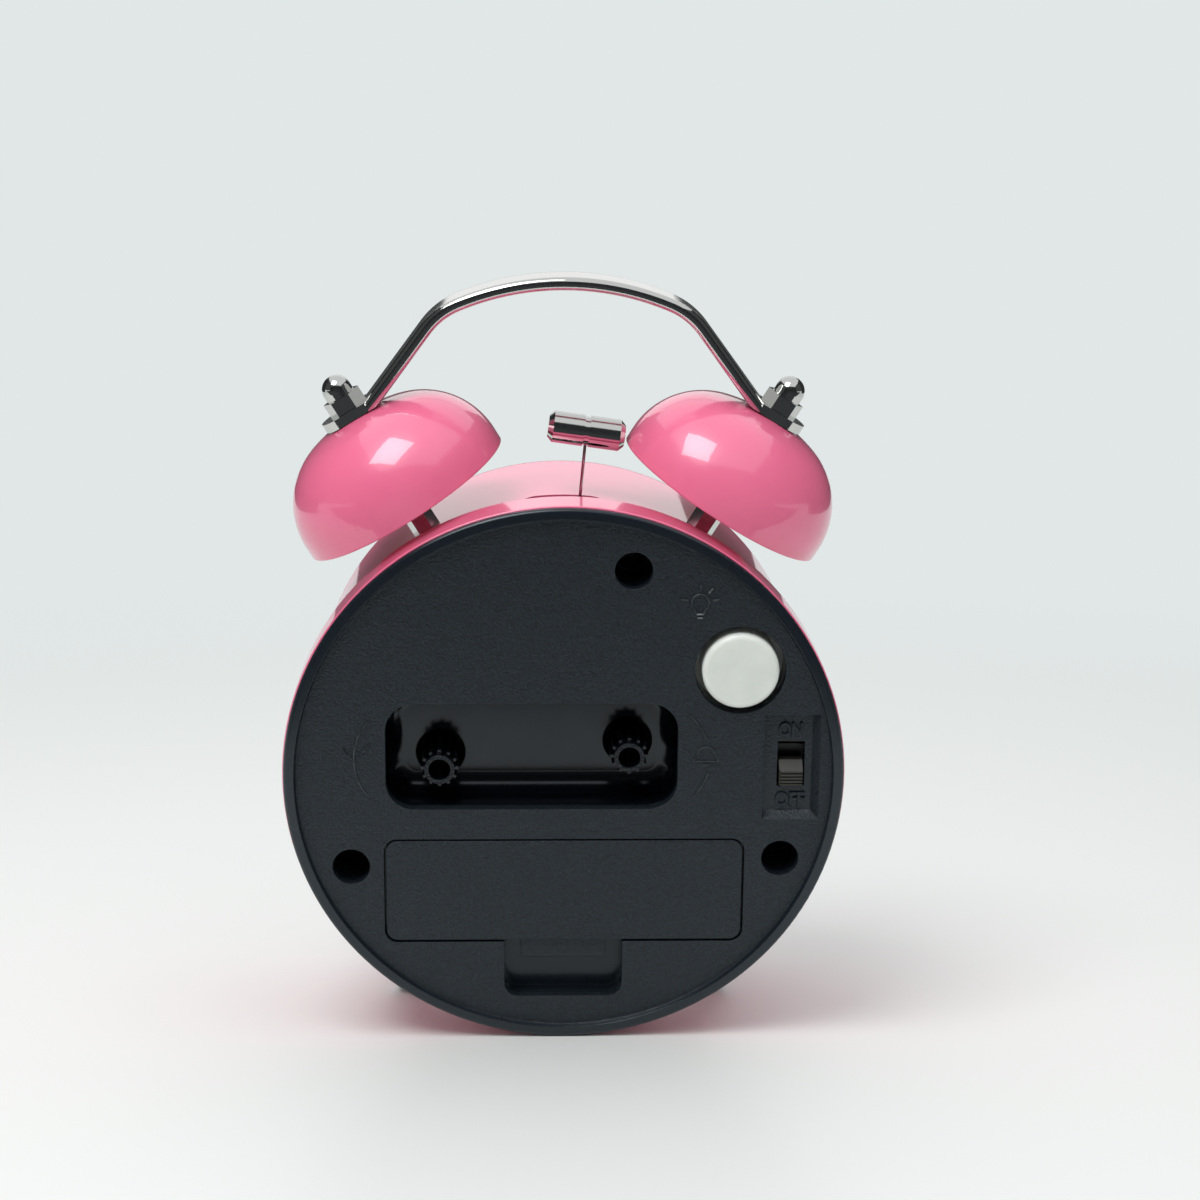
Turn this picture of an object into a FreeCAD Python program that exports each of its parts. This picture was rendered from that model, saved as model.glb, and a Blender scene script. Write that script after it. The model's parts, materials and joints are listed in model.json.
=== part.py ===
import FreeCAD
import Part
import Sketcher
import math
import os
import re

# Twin bell alarm clock of the three inch class, millimetres.
# Local frame of the drum: Y is the drum's axis with the back plane at 0 and the front at
# minus Y, Z points up along the disc, X to the right as seen from the dial side.
# At the end every piece is leant back about X and lifted so that the lip and the feet
# touch Z = 0.

doc = FreeCAD.newDocument("TwinBellClock")
sheet = doc.addObject("Spreadsheet::Sheet", "Sizes")

# name, value, what it is
SIZES = [
    ("lean_angle", "8.0", "how far the drum leans back on its lip"),
    ("loose_gap", "0.3", "clearance of loosely guided moving pieces"),
    ("pivot_gap", "0.06", "running clearance of a pivot in its hole, radial"),
    ("thread_gap", "0.02", "clearance of a thread in its bore, radial"),
    ("case_radius", "41.2", "outer radius of the drum"),
    ("case_wall", "0.8", "sheet of the drum and the lip"),
    ("front_depth", "44.0", "front face of the bezel"),
    ("shell_front", "41.0", "where the drum ends and the bezel starts"),
    ("lip_radius", "44.2", "outer radius of the rear lip"),
    ("lip_step", "7.0", "depth where the drum steps out to the lip"),
    ("lip_back", "0.4", "rear edge of the lip"),
    ("lip_round", "0.6", "rounding of the lip's front edge"),
    ("lip_edge", "0.25", "rounding of the lip's rear edge"),
    ("bell_station", "20.0", "depth of the bells, posts and handle"),
    ("bell_tilt", "31.7", "angle of each bell from the upright"),
    ("bell_distance", "47.5", "rim plane of a bell from the drum's axis"),
    ("bell_radius", "17.77", "outer radius at the rim"),
    ("bell_wall", "0.8", "sheet of a bell"),
    ("bell_skirt", "2.0", "straight part above the rim"),
    ("bell_shoulder", "12.97", "radius of the shoulder arc"),
    ("bell_turn", "18.0", "angle where shoulder and crown meet"),
    ("bell_seat", "2.6", "radius of the flat seat on the crown"),
    ("bell_edge", "0.3", "rounding of the rim"),
    ("post_flats", "4.0", "hexagonal post across flats"),
    ("stud_radius", "1.5", "threaded ends of posts and feet"),
    ("stud_inside", "3.9", "thread length inside the drum"),
    ("stud_outside", "5.2", "thread length through bell, handle and nut"),
    ("hole_gap", "0.1", "clearance of a stud in a sheet hole, radial"),
    ("acorn_flats", "5.5", "acorn nut across flats"),
    ("acorn_hex", "2.4", "height of the hexagon"),
    ("acorn_dome", "2.35", "radius of the dome"),
    ("acorn_centre", "3.5", "height of the dome's centre"),
    ("acorn_bore", "3.3", "depth of the thread in the acorn nut"),
    ("nut_flats", "5.5", "inner nut across flats"),
    ("nut_height", "2.2", "height of an inner nut"),
    ("handle_width", "7.0", "width of the handle strip"),
    ("handle_thick", "2.1", "thickness of the arch and legs"),
    ("handle_round", "1.0", "rounding of the strip's edges"),
    ("tab_thick", "1.5", "thickness of the pressed tabs"),
    ("tab_out", "5.0", "tab from the stud outwards"),
    ("tab_in", "3.0", "tab from the stud inwards, where the leg starts"),
    ("leg_angle", "53.8", "slope of the legs from the horizontal"),
    ("arch_radius", "44.2", "outer radius of the arch"),
    ("arch_top", "76.4", "top of the arch above the drum's axis"),
    ("bend_radius", "13.0", "outer radius between leg and arch"),
    ("foot_angle", "30.0", "angle of each foot from straight down"),
    ("foot_station", "25.3", "depth of the feet"),
    ("foot_ball", "3.3", "radius of the ball end"),
    ("foot_stem", "2.5", "radius of the stem"),
    ("slot_half", "6.5", "half length of the hammer slot"),
    ("slot_radius", "2.4", "round ends of the hammer slot, half its width"),
    ("slot_station", "16.8", "depth of the hammer slot's middle"),
    ("bezel_round", "2.2", "front rounding of the bezel"),
    ("bezel_opening", "35.5", "radius of the opening over the dial"),
    ("bezel_slope", "0.9", "sloped inner edge of the bezel"),
    ("bezel_spigot", "40.2", "outer radius of the bezel's spigot"),
    ("spigot_depth", "37.0", "rear end of the spigot"),
    ("lens_radius", "37.0", "radius of the front lens"),
    ("lens_front", "42.5", "front face of the lens"),
    ("lens_thick", "1.6", "thickness of the lens"),
    ("ring_outer", "38.7", "outer radius of the dial ring"),
    ("ring_top", "35.8", "inner radius of the dial ring at the lens"),
    ("ring_foot", "34.8", "inner radius of the dial ring at the dial"),
    ("dial_radius", "38.5", "radius of the dial card"),
    ("dial_front", "33.5", "front face of the dial"),
    ("dial_back", "33.0", "back of the dial, front of the frame disc"),
    ("dial_hole", "2.6", "centre hole of the dial"),
    ("lamp_radius", "1.5", "dial lamp"),
    ("frame_radius", "40.1", "radius of the frame disc"),
    ("frame_back", "31.5", "back of the frame disc"),
    ("frame_hole", "4.0", "centre hole of the frame disc"),
    ("pillar_radius", "3.5", "pillars that take the rear screws"),
    ("pillar_back", "12.0", "rear end of the pillars and cover bosses"),
    ("boss_top_x", "-10.5", "upper rear screw"),
    ("boss_top_z", "34.05", "upper rear screw"),
    ("boss_right_x", "33.6", "right rear screw"),
    ("boss_right_z", "-14.65", "right rear screw"),
    ("boss_left_x", "-34.3", "left rear screw"),
    ("boss_left_z", "-13.4", "left rear screw"),
    ("boss_radius", "3.55", "outer radius of a cover boss"),
    ("boss_bore", "2.95", "bore for the screw head"),
    ("boss_floor", "10.5", "depth of the screw head's seat"),
    ("screw_radius", "1.2", "thread of the rear screws"),
    ("screw_head", "2.5", "head radius of the rear screws"),
    ("head_height", "2.0", "head height of the rear screws"),
    ("screw_length", "8.0", "length of the rear screws"),
    ("small_screw", "1.0", "thread of the inner screws"),
    ("small_head", "1.9", "head radius of the inner screws"),
    ("small_height", "1.4", "head height of the inner screws"),
    ("small_length", "3.6", "length of the inner screws"),
    ("ear_thick", "2.5", "ears of the movement case"),
    ("ear_reach", "3.4", "ear screw outside the movement case"),
    ("ear_height", "-3.0", "height of the ear screws"),
    ("plate_back", "30.5", "back of the movement plate"),
    ("move_left", "17.0", "movement to the left of the centre"),
    ("move_right", "26.4", "movement to the right of the centre"),
    ("move_low", "18.6", "movement below the centre"),
    ("move_high", "12.4", "movement above the centre"),
    ("move_rear", "18.7", "rear face of the movement case"),
    ("move_wall", "1.0", "wall of the movement case"),
    ("gear_thick", "1.0", "slow gears"),
    ("thin_gear", "0.8", "fast gears"),
    ("fine_gear", "0.6", "gears next to the rotor"),
    ("layer_gap", "0.3", "axial gap between gear layers"),
    ("train_radius", "9.0", "distance of the train arbors from the centre"),
    ("rotor_reach", "5.6", "distance of the rotor from the fifth arbor"),
    ("arbor_radius", "0.45", "arbor of the second hand"),
    ("pivot_radius", "0.5", "other arbors"),
    ("cannon_outer", "0.95", "tube of the minute hand"),
    ("hour_outer", "1.5", "tube of the hour hand"),
    ("alarm_outer", "2.1", "tube of the alarm hand"),
    ("hand_gap", "0.8", "gap between two hands"),
    ("hand_thick", "0.4", "sheet of the hands"),
    ("tube_proud", "0.2", "how far each tube passes its hand"),
    ("alarm_hand_length", "17.0", "alarm hand"),
    ("hour_hand_length", "19.0", "hour hand"),
    ("minute_hand_length", "28.0", "minute hand"),
    ("second_hand_length", "30.0", "second hand"),
    ("shown_hour", "10.0", "hour shown at rest"),
    ("shown_minute", "10.0", "minute shown at rest"),
    ("alarm_hour", "7.0", "alarm time shown at rest"),
    ("magnet_radius", "2.3", "rotor magnet"),
    ("magnet_length", "1.5", "rotor magnet"),
    ("stator_hole", "2.9", "hole of the stator round the magnet"),
    ("stator_thick", "0.9", "stator sheet"),
    ("stator_web", "0.25", "narrow web of the stator beside its hole"),
    ("coil_radius", "1.7", "motor coil"),
    ("coil_height", "-15.0", "height of the motor coil's axis"),
    ("time_x", "19.6", "time setting knob"),
    ("time_z", "1.2", "time setting knob"),
    ("alarm_x", "-10.25", "alarm setting knob"),
    ("alarm_z", "3.15", "alarm setting knob"),
    ("knob_radius", "2.4", "tube of a setting knob"),
    ("knob_bore", "1.725", "bore of a setting knob"),
    ("knob_bore_depth", "8.0", "depth of that bore"),
    ("knob_end", "1.2", "rear end of the knobs below the back plane"),
    ("knob_foot", "16.0", "front end of the knob tubes"),
    ("rib_radius", "3.0", "over the ribs of a knob"),
    ("rib_width", "0.55", "width of a rib"),
    ("rib_set_back", "0.8", "ribs behind the knob's end face"),
    ("rib_length", "11.0", "length of the ribs"),
    ("rib_count", "12", "ribs on a knob"),
    ("knob_arbor", "1.2", "arbor of a setting knob"),
    ("plate_thick", "2.0", "back plate of the cover"),
    ("bead_proud", "0.8", "bead of the cover above the back plane"),
    ("bead_inner", "42.0", "inner radius of the bead at the plate"),
    ("bead_slope", "0.35", "sloped inner edge of the bead"),
    ("bead_round", "0.6", "outer rounding of the bead"),
    ("cover_radius", "44.0", "outer radius of the cover"),
    ("cover_split", "-8.0", "height where the cover's upper and lower piece meet"),
    ("skirt_radius", "43.3", "outer radius of the skirt inside the lip"),
    ("skirt_wall", "1.6", "wall of the skirt"),
    ("skirt_depth", "5.6", "depth of the skirt"),
    ("recess_left", "-17.8", "knob recess"),
    ("recess_right", "28.0", "knob recess"),
    ("recess_low", "-5.05", "knob recess"),
    ("recess_high", "12.55", "knob recess"),
    ("recess_corner", "4.6", "corner radius of the knob recess"),
    ("recess_floor", "9.5", "floor of the knob recess"),
    ("recess_round", "3.0", "rounding at that floor"),
    ("recess_wall", "1.5", "wall round the knob recess"),
    ("stem_hole", "3.95", "holes for the knobs"),
    ("door_left", "-28.65", "battery opening"),
    ("door_right", "28.45", "battery opening"),
    ("door_low", "-27.67", "battery opening"),
    ("door_high", "-10.05", "battery opening"),
    ("door_corner", "2.1", "corner radius of the battery opening"),
    ("door_edge", "0.25", "rounding of the battery cover's outer edge"),
    ("door_thick", "1.6", "battery cover"),
    ("bay_half", "27.0", "half length inside the battery bay"),
    ("bay_ledge", "1.2", "ledge under the battery cover"),
    ("bay_depth", "17.2", "depth of the battery bay"),
    ("bay_wall", "1.2", "walls of the battery bay"),
    ("rim_depth", "3.4", "depth of the stiffening rim round the bay"),
    ("rim_width", "1.2", "width of that rim beyond the opening"),
    ("hook_x", "18.0", "hooks of the battery cover from the centre"),
    ("hook_width", "7.0", "width of a hook"),
    ("hook_reach", "1.5", "hook beyond the cover's edge"),
    ("hook_thick", "1.2", "thickness of a hook"),
    ("hook_room", "5.2", "depth of the pocket for a hook"),
    ("notch_half", "9.42", "half width of the finger notch"),
    ("notch_low", "-37.17", "lower edge of the finger notch"),
    ("notch_depth", "4.2", "depth of the finger notch"),
    ("notch_corner", "2.3", "lower corners of the finger notch"),
    ("notch_wall", "1.2", "wall of the finger notch"),
    ("tongue_half", "6.75", "half width of the cover's tongue"),
    ("tongue_reach", "3.8", "length of the tongue"),
    ("tongue_drop", "2.0", "how far the tongue slopes in"),
    ("button_x", "-27.3", "light button"),
    ("button_z", "18.0", "light button"),
    ("button_radius", "6.02", "light button"),
    ("button_bore", "7.1", "bore for the button"),
    ("button_guide", "8.2", "outer radius of the guide"),
    ("button_proud", "1.0", "button above the back plane"),
    ("button_round", "0.8", "rounding of the button"),
    ("flange_radius", "7.4", "flange under the guide"),
    ("flange_thick", "1.4", "thickness of the flange"),
    ("button_stem", "1.5", "stem of the button"),
    ("button_travel", "1.2", "travel of the light button"),
    ("leaf_depth", "13.6", "rear face of the lamp contact"),
    ("leaf_thick", "0.4", "contact leaves"),
    ("leaf_width", "2.4", "width of the lamp contact"),
    ("tower_radius", "5.5", "tower under the light button"),
    ("tower_bore", "4.5", "bore of that tower"),
    ("spring_radius", "3.4", "button spring, to the wire's centre"),
    ("spring_wire", "0.4", "wire of the button spring"),
    ("switch_left", "-40.2", "switch recess at the surface"),
    ("switch_right", "-31.3", "switch recess"),
    ("switch_low", "-6.85", "switch recess at the surface"),
    ("switch_high", "10.65", "switch recess"),
    ("switch_depth", "1.5", "depth of the switch recess"),
    ("switch_slope", "1.2", "sloped walls of the switch recess"),
    ("switch_floor", "3.0", "underside of the switch recess"),
    ("slider_x", "-35.75", "middle of the alarm slider"),
    ("slider_low", "-1.4", "lower end of the slider's nub at rest"),
    ("slider_length", "4.0", "length of the nub"),
    ("slider_width", "3.7", "width of the nub"),
    ("groove_pitch", "0.55", "pitch of the nub's grooves"),
    ("groove_width", "0.28", "width of a groove"),
    ("groove_sink", "0.3", "depth of a groove"),
    ("facet_drop", "1.5", "how far the nub's sloping facet goes in"),
    ("slider_top", "0.7", "top of the nub below the back plane"),
    ("slider_travel", "2.85", "travel of the alarm slider"),
    ("slider_foot", "1.7", "base of the slider beyond the nub, along"),
    ("slider_side", "0.7", "base of the slider beyond the nub, across"),
    ("slider_thick", "1.0", "base of the slider"),
    ("slider_sink", "1.5", "base of the slider below the switch's floor"),
    ("switch_rear", "7.0", "front end of the switch case"),
    ("switch_wall", "0.6", "wall of the switch case"),
    ("hammer_station", "18.5", "depth of the hammer"),
    ("hammer_pivot", "26.5", "height of the hammer's pivot"),
    ("hammer_swing", "8.0", "hammer to either side of the middle"),
    ("pin_radius", "1.0", "hammer pin"),
    ("pin_head", "1.8", "head of the hammer pin"),
    ("hub_radius", "2.4", "hub of the hammer lever"),
    ("hub_length", "4.4", "hub of the hammer lever"),
    ("lever_half", "1.8", "half width of the lever"),
    ("lever_top", "34.5", "upper end of the lever"),
    ("lever_thick", "1.2", "sheet of the lever and armature"),
    ("armature_reach", "12.0", "armature to the right of the pivot"),
    ("armature_width", "5.0", "armature along the axis"),
    ("wire_radius", "0.25", "hammer wire"),
    ("wire_foot_x", "-1.06", "wire in its clamp, hammer in the middle"),
    ("wire_foot_z", "32.2", "wire in its clamp"),
    ("clamp_radius", "1.1", "clamp of the wire"),
    ("head_z", "52.0", "height of the hammer head, hammer in the middle"),
    ("head_radius", "2.5", "hammer head"),
    ("head_length", "12.2", "hammer head"),
    ("head_chamfer", "0.8", "hammer head"),
    ("groove_half", "0.45", "half width of the groove round the head"),
    ("groove_depth", "0.25", "depth of that groove"),
    ("core_x", "8.0", "ringer core from the pivot"),
    ("core_radius", "1.8", "ringer core"),
    ("core_top", "24.0", "top of the ringer core"),
    ("coil_outer", "4.4", "ringer coil"),
    ("coil_top", "23.0", "top of the ringer coil"),
    ("ringer_low", "14.0", "lower edge of the ringer frame"),
    ("ringer_high", "31.0", "upper edge of the ringer frame"),
    ("ringer_left", "-7.0", "left edge of the ringer frame"),
    ("ringer_right", "14.0", "right edge of the ringer frame"),
    ("ringer_back", "23.2", "rear face of the ringer frame's wall"),
    ("ringer_sheet", "1.2", "sheet of the ringer frame"),
    ("ringer_foot", "13.2", "rear end of the ringer frame's foot"),
    ("standoff_radius", "2.5", "standoffs of the ringer"),
    ("standoff_low_x", "-4.5", "lower standoff"),
    ("standoff_low_z", "17.5", "lower standoff"),
    ("standoff_high_x", "11.5", "upper standoff"),
    ("standoff_high_z", "28.5", "upper standoff"),
    ("return_radius", "1.5", "hammer return spring, to the wire's centre"),
    ("return_wire", "0.35", "wire of the hammer return spring"),
    ("cell_radius", "4.2", "battery spring at its plate"),
    ("cell_wire", "0.6", "wire of the battery spring"),
    ("cell_reach", "4.0", "length of the battery spring"),
    ("contact_sheet", "0.4", "sheet of the battery contacts"),
]

row = 1
for name, value, note in SIZES:
    sheet.set("A%d" % row, name)
    sheet.set("B%d" % row, value)
    sheet.set("C%d" % row, note)
    sheet.setAlias("B%d" % row, name)
    row += 1
doc.recompute()

NAMES = set(entry[0] for entry in SIZES)


def bind(text):
    """Expression text with each size taken from the sheet."""
    def sized(word):
        if word.group(0) in NAMES:
            return "Sizes." + word.group(0)
        return word.group(0)
    return re.sub(r"[a-z][a-z0-9_]*", sized, text)


def number(text):
    """Value of an expression, millimetres or degrees."""
    return float(sheet.evalExpression(bind(text)))


def vector(x, y, z):
    return FreeCAD.Vector(number(x), number(y), number(z))


ABOUT_X = FreeCAD.Vector(1, 0, 0)
ABOUT_Y = FreeCAD.Vector(0, 1, 0)
ABOUT_Z = FreeCAD.Vector(0, 0, 1)
ALONG = {
    "X": FreeCAD.Rotation(ABOUT_Y, 90),
    "Y": FreeCAD.Rotation(ABOUT_X, -90),
    "Z": FreeCAD.Rotation(),
}

# Plain solids and how they are joined.


def at(piece, x, y, z):
    piece.setExpression("Placement.Base.x", bind(x))
    piece.setExpression("Placement.Base.y", bind(y))
    piece.setExpression("Placement.Base.z", bind(z))
    return piece


def block(x0, x1, y0, y1, z0, z1):
    piece = doc.addObject("Part::Box", "Block")
    piece.setExpression("Length", bind("(%s) - (%s)" % (x1, x0)))
    piece.setExpression("Width", bind("(%s) - (%s)" % (y1, y0)))
    piece.setExpression("Height", bind("(%s) - (%s)" % (z1, z0)))
    return at(piece, x0, y0, z0)


def rod(axis, x, y, z, radius, length):
    """Round bar from a point along plus X, Y or Z."""
    piece = doc.addObject("Part::Cylinder", "Rod")
    piece.setExpression("Radius", bind(radius))
    piece.setExpression("Height", bind(length))
    piece.Placement = FreeCAD.Placement(FreeCAD.Vector(), ALONG[axis])
    return at(piece, x, y, z)


def bar(x, z, radius, y0, y1):
    """Round bar along the drum's axis between two depths."""
    return rod("Y", x, y0, z, radius, "(%s) - (%s)" % (y1, y0))


def ball(x, y, z, radius):
    piece = doc.addObject("Part::Sphere", "Ball")
    piece.setExpression("Radius", bind(radius))
    return at(piece, x, y, z)


def hexagon(z0, height, flats):
    """Hexagonal bar along Z."""
    piece = doc.addObject("Part::Prism", "Hexagon")
    piece.Polygon = 6
    piece.setExpression("Circumradius", bind("(%s) / 2 / cos(30)" % flats))
    piece.setExpression("Height", bind(height))
    return at(piece, "0", "0", z0)


def fuse(pieces):
    if len(pieces) == 1:
        return pieces[0]
    joined = doc.addObject("Part::MultiFuse", "Joined")
    joined.Shapes = pieces
    joined.Refine = True
    return joined


def cut(base, tools):
    left = doc.addObject("Part::Cut", "Cut")
    left.Base = base
    left.Tool = fuse(tools)
    left.Refine = True
    return left


def shared(base, room):
    both = doc.addObject("Part::Common", "Common")
    both.Base = base
    both.Tool = room
    both.Refine = True
    return both


def group(pieces):
    together = doc.addObject("Part::Compound", "Group")
    together.Links = pieces
    return together


def turn_to(piece, y, angle):
    """Turns a piece that was made along Z about the drum's axis, at depth y."""
    piece.Placement = spoke(y, angle)
    return piece


def spoke(y, angle):
    return FreeCAD.Placement(vector("0", y, "0"), FreeCAD.Rotation(ABOUT_Y, number(angle)))


# Sketched solids. Every corner of an outline is bound to the sheet.


def origin_of(body, role):
    for feature in body.Origin.OriginFeatures:
        if feature.Role == role:
            return feature
    raise RuntimeError("no " + role)


def curve(a, b, radius):
    """Arc from a to b: centre on the left for a plus radius, on the right for minus."""
    chord = b.sub(a)
    rise = math.sqrt(max(radius * radius - chord.Length ** 2 / 4, 0.0))
    left = FreeCAD.Vector(-chord.y, chord.x, 0).normalize()
    if radius < 0:
        left = left.negative()
    centre = a.add(b).multiply(0.5).add(left.multiply(rise))
    circle = Part.Circle(centre, FreeCAD.Vector(0, 0, 1), abs(radius))
    first, last = (a, b) if radius > 0 else (b, a)
    start = math.atan2(first.y - centre.y, first.x - centre.x)
    end = math.atan2(last.y - centre.y, last.x - centre.x)
    if end < start:
        end += 2 * math.pi
    return Part.ArcOfCircle(circle, start, end)


def outline(body, role, corners, depth="0"):
    """Closed sketch; a third entry is the radius of the arc to the next corner."""
    sketch = body.newObject("Sketcher::SketchObject", "Outline")
    sketch.AttachmentSupport = [(origin_of(body, role), "")]
    sketch.MapMode = "FlatFace"
    if depth != "0":
        sketch.setExpression("AttachmentOffset.Base.z", bind(depth))
    count = len(corners)
    spots = [FreeCAD.Vector(number(c[0]), number(c[1]), 0) for c in corners]
    for i in range(count):
        a = spots[i]
        b = spots[(i + 1) % count]
        if len(corners[i]) > 2:
            sketch.addGeometry(curve(a, b, number(corners[i][2])), False)
        else:
            sketch.addGeometry(Part.LineSegment(a, b), False)
    head = []
    tail = []
    for corner in corners:
        backwards = len(corner) > 2 and number(corner[2]) < 0
        head.append(2 if backwards else 1)
        tail.append(1 if backwards else 2)
    for i in range(count):
        before = (i - 1) % count
        sketch.addConstraint(Sketcher.Constraint("Coincident", before, tail[before], i, head[i]))
    for i in range(count):
        for kind, text, axis in (("DistanceX", corners[i][0], -2), ("DistanceY", corners[i][1], -1)):
            if text == "0":
                sketch.addConstraint(Sketcher.Constraint("PointOnObject", i, head[i], axis))
            else:
                index = sketch.addConstraint(
                    Sketcher.Constraint(kind, -1, 1, i, head[i], number(text)))
                sketch.setExpression("Constraints[%d]" % index, bind(text))
        if len(corners[i]) > 2:
            size = corners[i][2].lstrip("-")
            index = sketch.addConstraint(Sketcher.Constraint("Radius", i, number(size)))
            sketch.setExpression("Constraints[%d]" % index, bind(size))
    return sketch


def turned(corners, plane="XY_Plane"):
    """Body of revolution about its sketch's vertical axis: Y, or Z on the XZ plane."""
    body = doc.addObject("PartDesign::Body", "Turned")
    sketch = outline(body, plane, corners)
    spin = body.newObject("PartDesign::Revolution", "Spin")
    spin.Profile = sketch
    spin.ReferenceAxis = (sketch, ["V_Axis"])
    spin.Angle = 360
    return body


def slab(corners, top, thick):
    """Body padded from an outline in X and Z, from depth top towards the front."""
    body = doc.addObject("PartDesign::Body", "Slab")
    sketch = outline(body, "XZ_Plane", corners, "-(%s)" % top)
    pad = body.newObject("PartDesign::Pad", "Pad")
    pad.Profile = sketch
    pad.setExpression("Length", bind(thick))
    return body


def rounded_box(x0, x1, z0, z1, corner, top, thick):
    points = [
        ("(%s) + (%s)" % (x0, corner), z0),
        ("(%s) - (%s)" % (x1, corner), z0, corner),
        (x1, "(%s) + (%s)" % (z0, corner)),
        (x1, "(%s) - (%s)" % (z1, corner), corner),
        ("(%s) - (%s)" % (x1, corner), z1),
        ("(%s) + (%s)" % (x0, corner), z1, corner),
        (x0, "(%s) - (%s)" % (z1, corner)),
        (x0, "(%s) + (%s)" % (z0, corner), corner),
    ]
    return slab(points, top, thick)


def soften(body, test, radius):
    """Fillet on each edge of the body that passes the test."""
    doc.recompute()
    edges = []
    for i, edge in enumerate(body.Shape.Edges):
        if test(edge):
            edges.append("Edge%d" % (i + 1))
    if not edges:
        raise RuntimeError("no edge to round")
    before = body.Tip
    fillet = body.newObject("PartDesign::Fillet", "Round")
    fillet.Base = (before, edges)
    fillet.setExpression("Radius", bind(radius))
    body.Tip = fillet
    return body


def ring_at(radius, height, axis="y"):
    """Test for a full circle of one radius at one height."""
    def test(edge):
        if not isinstance(edge.Curve, Part.Circle):
            return False
        centre = getattr(edge.Curve.Center, axis)
        near = abs(edge.Curve.Radius - number(radius)) < 0.001
        return near and abs(centre - number(height)) < 0.001
    return test


# Toothed wheels and wound springs, which neither sketches nor primitives make well.


def gear(teeth, module, thick, phase, x, y, z):
    """Spur gear with straight flanks; phase is the angle of one tooth, from +X to +Z."""
    size = number(module)
    pitch = size * teeth / 2.0
    tip = pitch + 0.75 * size
    root = pitch - 1.1 * size
    wide = 0.19 * math.pi * size / pitch
    foot = 0.23 * math.pi * size / pitch if teeth > 12 else 0.19 * math.pi * size / root * 0.8
    point = 0.11 * math.pi * size / tip
    corners = []
    for i in range(teeth):
        middle = math.radians(phase) + 2 * math.pi * i / teeth
        for radius, turn in ((root, -foot), (pitch, -wide), (tip, -point),
                             (tip, point), (pitch, wide), (root, foot)):
            corners.append(FreeCAD.Vector(
                radius * math.cos(middle + turn), 0, radius * math.sin(middle + turn)))
    corners.append(corners[0])
    face = Part.Face(Part.makePolygon(corners))
    piece = doc.addObject("Part::Feature", "Gear")
    piece.Shape = face.extrude(FreeCAD.Vector(0, number(thick), 0))
    piece.Placement = FreeCAD.Placement(vector(x, y, z), FreeCAD.Rotation())
    return piece


def meshed(teeth, phase, direction, next_teeth):
    """Phase of the next gear so that its gap takes the tooth of this one."""
    part_turn = (phase - direction) / (360.0 / teeth) + 0.5
    return direction + 180.0 - (360.0 / next_teeth) * part_turn


def wound(radius, end_radius, length, turns, wire, axis, x, y, z):
    """Round wire wound about an axis from a point; the radius changes evenly."""
    low = number(radius)
    high = number(end_radius)
    rise = number(length)
    thick = number(wire)
    steps = int(turns * 8)
    spots = []
    for i in range(steps + 1):
        share = float(i) / steps
        turn = 2 * math.pi * turns * share
        reach = low + (high - low) * share
        spots.append(FreeCAD.Vector(reach * math.cos(turn), reach * math.sin(turn), rise * share))
    path = Part.BSplineCurve()
    path.interpolate(spots)
    spine = Part.Wire([path.toShape()])
    start = path.tangent(path.FirstParameter)[0]
    disc = Part.Wire([Part.makeCircle(thick / 2, spots[0], start)])
    tube = spine.makePipeShell([disc], True, True)
    piece = doc.addObject("Part::Feature", "Wound")
    piece.Shape = tube if tube.ShapeType == "Solid" else Part.Solid(tube)
    piece.Placement = FreeCAD.Placement(vector(x, y, z), ALONG[axis])
    return piece


PARTS = []


def piece(name, made, local=None):
    """Takes a finished piece and where it sits in the drum's frame."""
    for path in ("Placement.Base.x", "Placement.Base.y", "Placement.Base.z"):
        if any(entry[0].strip(".") == path for entry in made.ExpressionEngine):
            doc.recompute()
            made.setExpression(path, None)
    PARTS.append((name, made, local))


# Depths of the bells, hammer and feet along the axis.
BELLS = "-bell_station"
HAMMER = "-hammer_station"
FEET = "-foot_station"
INSIDE = "case_radius - case_wall"

# Drum with its rear lip, the holes of posts and feet, and the hammer's slot.
shell = turned([
    (INSIDE, "-shell_front"),
    ("case_radius", "-shell_front"),
    ("case_radius", "-lip_step"),
    ("lip_radius", "-lip_step"),
    ("lip_radius", "-lip_back"),
    ("lip_radius - case_wall", "-lip_back"),
    ("lip_radius - case_wall", "-lip_step + case_wall"),
    (INSIDE, "-lip_step + case_wall"),
])
soften(shell, ring_at("lip_radius", "-lip_step"), "lip_round")
soften(shell, ring_at("lip_radius", "-lip_back"), "lip_edge")
SLOT_LOW = "case_radius - 2 * case_wall"
SLOT_END = "slot_half - slot_radius"
holes = [block("-(%s)" % SLOT_END, SLOT_END, "-slot_station - slot_radius",
               "-slot_station + slot_radius", SLOT_LOW, "case_radius + 1")]
for x in ("-(%s)" % SLOT_END, SLOT_END):
    holes.append(rod("Z", x, "-slot_station", SLOT_LOW, "slot_radius", "2 * case_wall + 1"))
SPOKES = ((BELLS, "bell_tilt"), (BELLS, "-bell_tilt"),
          (FEET, "180 - foot_angle"), (FEET, "180 + foot_angle"))
for depth, angle in SPOKES:
    hole = rod("Z", "0", "0", "case_radius - 3 * case_wall", "stud_radius + hole_gap",
               "5 * case_wall")
    hole = turn_to(group([hole]), depth, angle)
    holes.append(hole)
piece("case_shell", cut(shell, holes))

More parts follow.
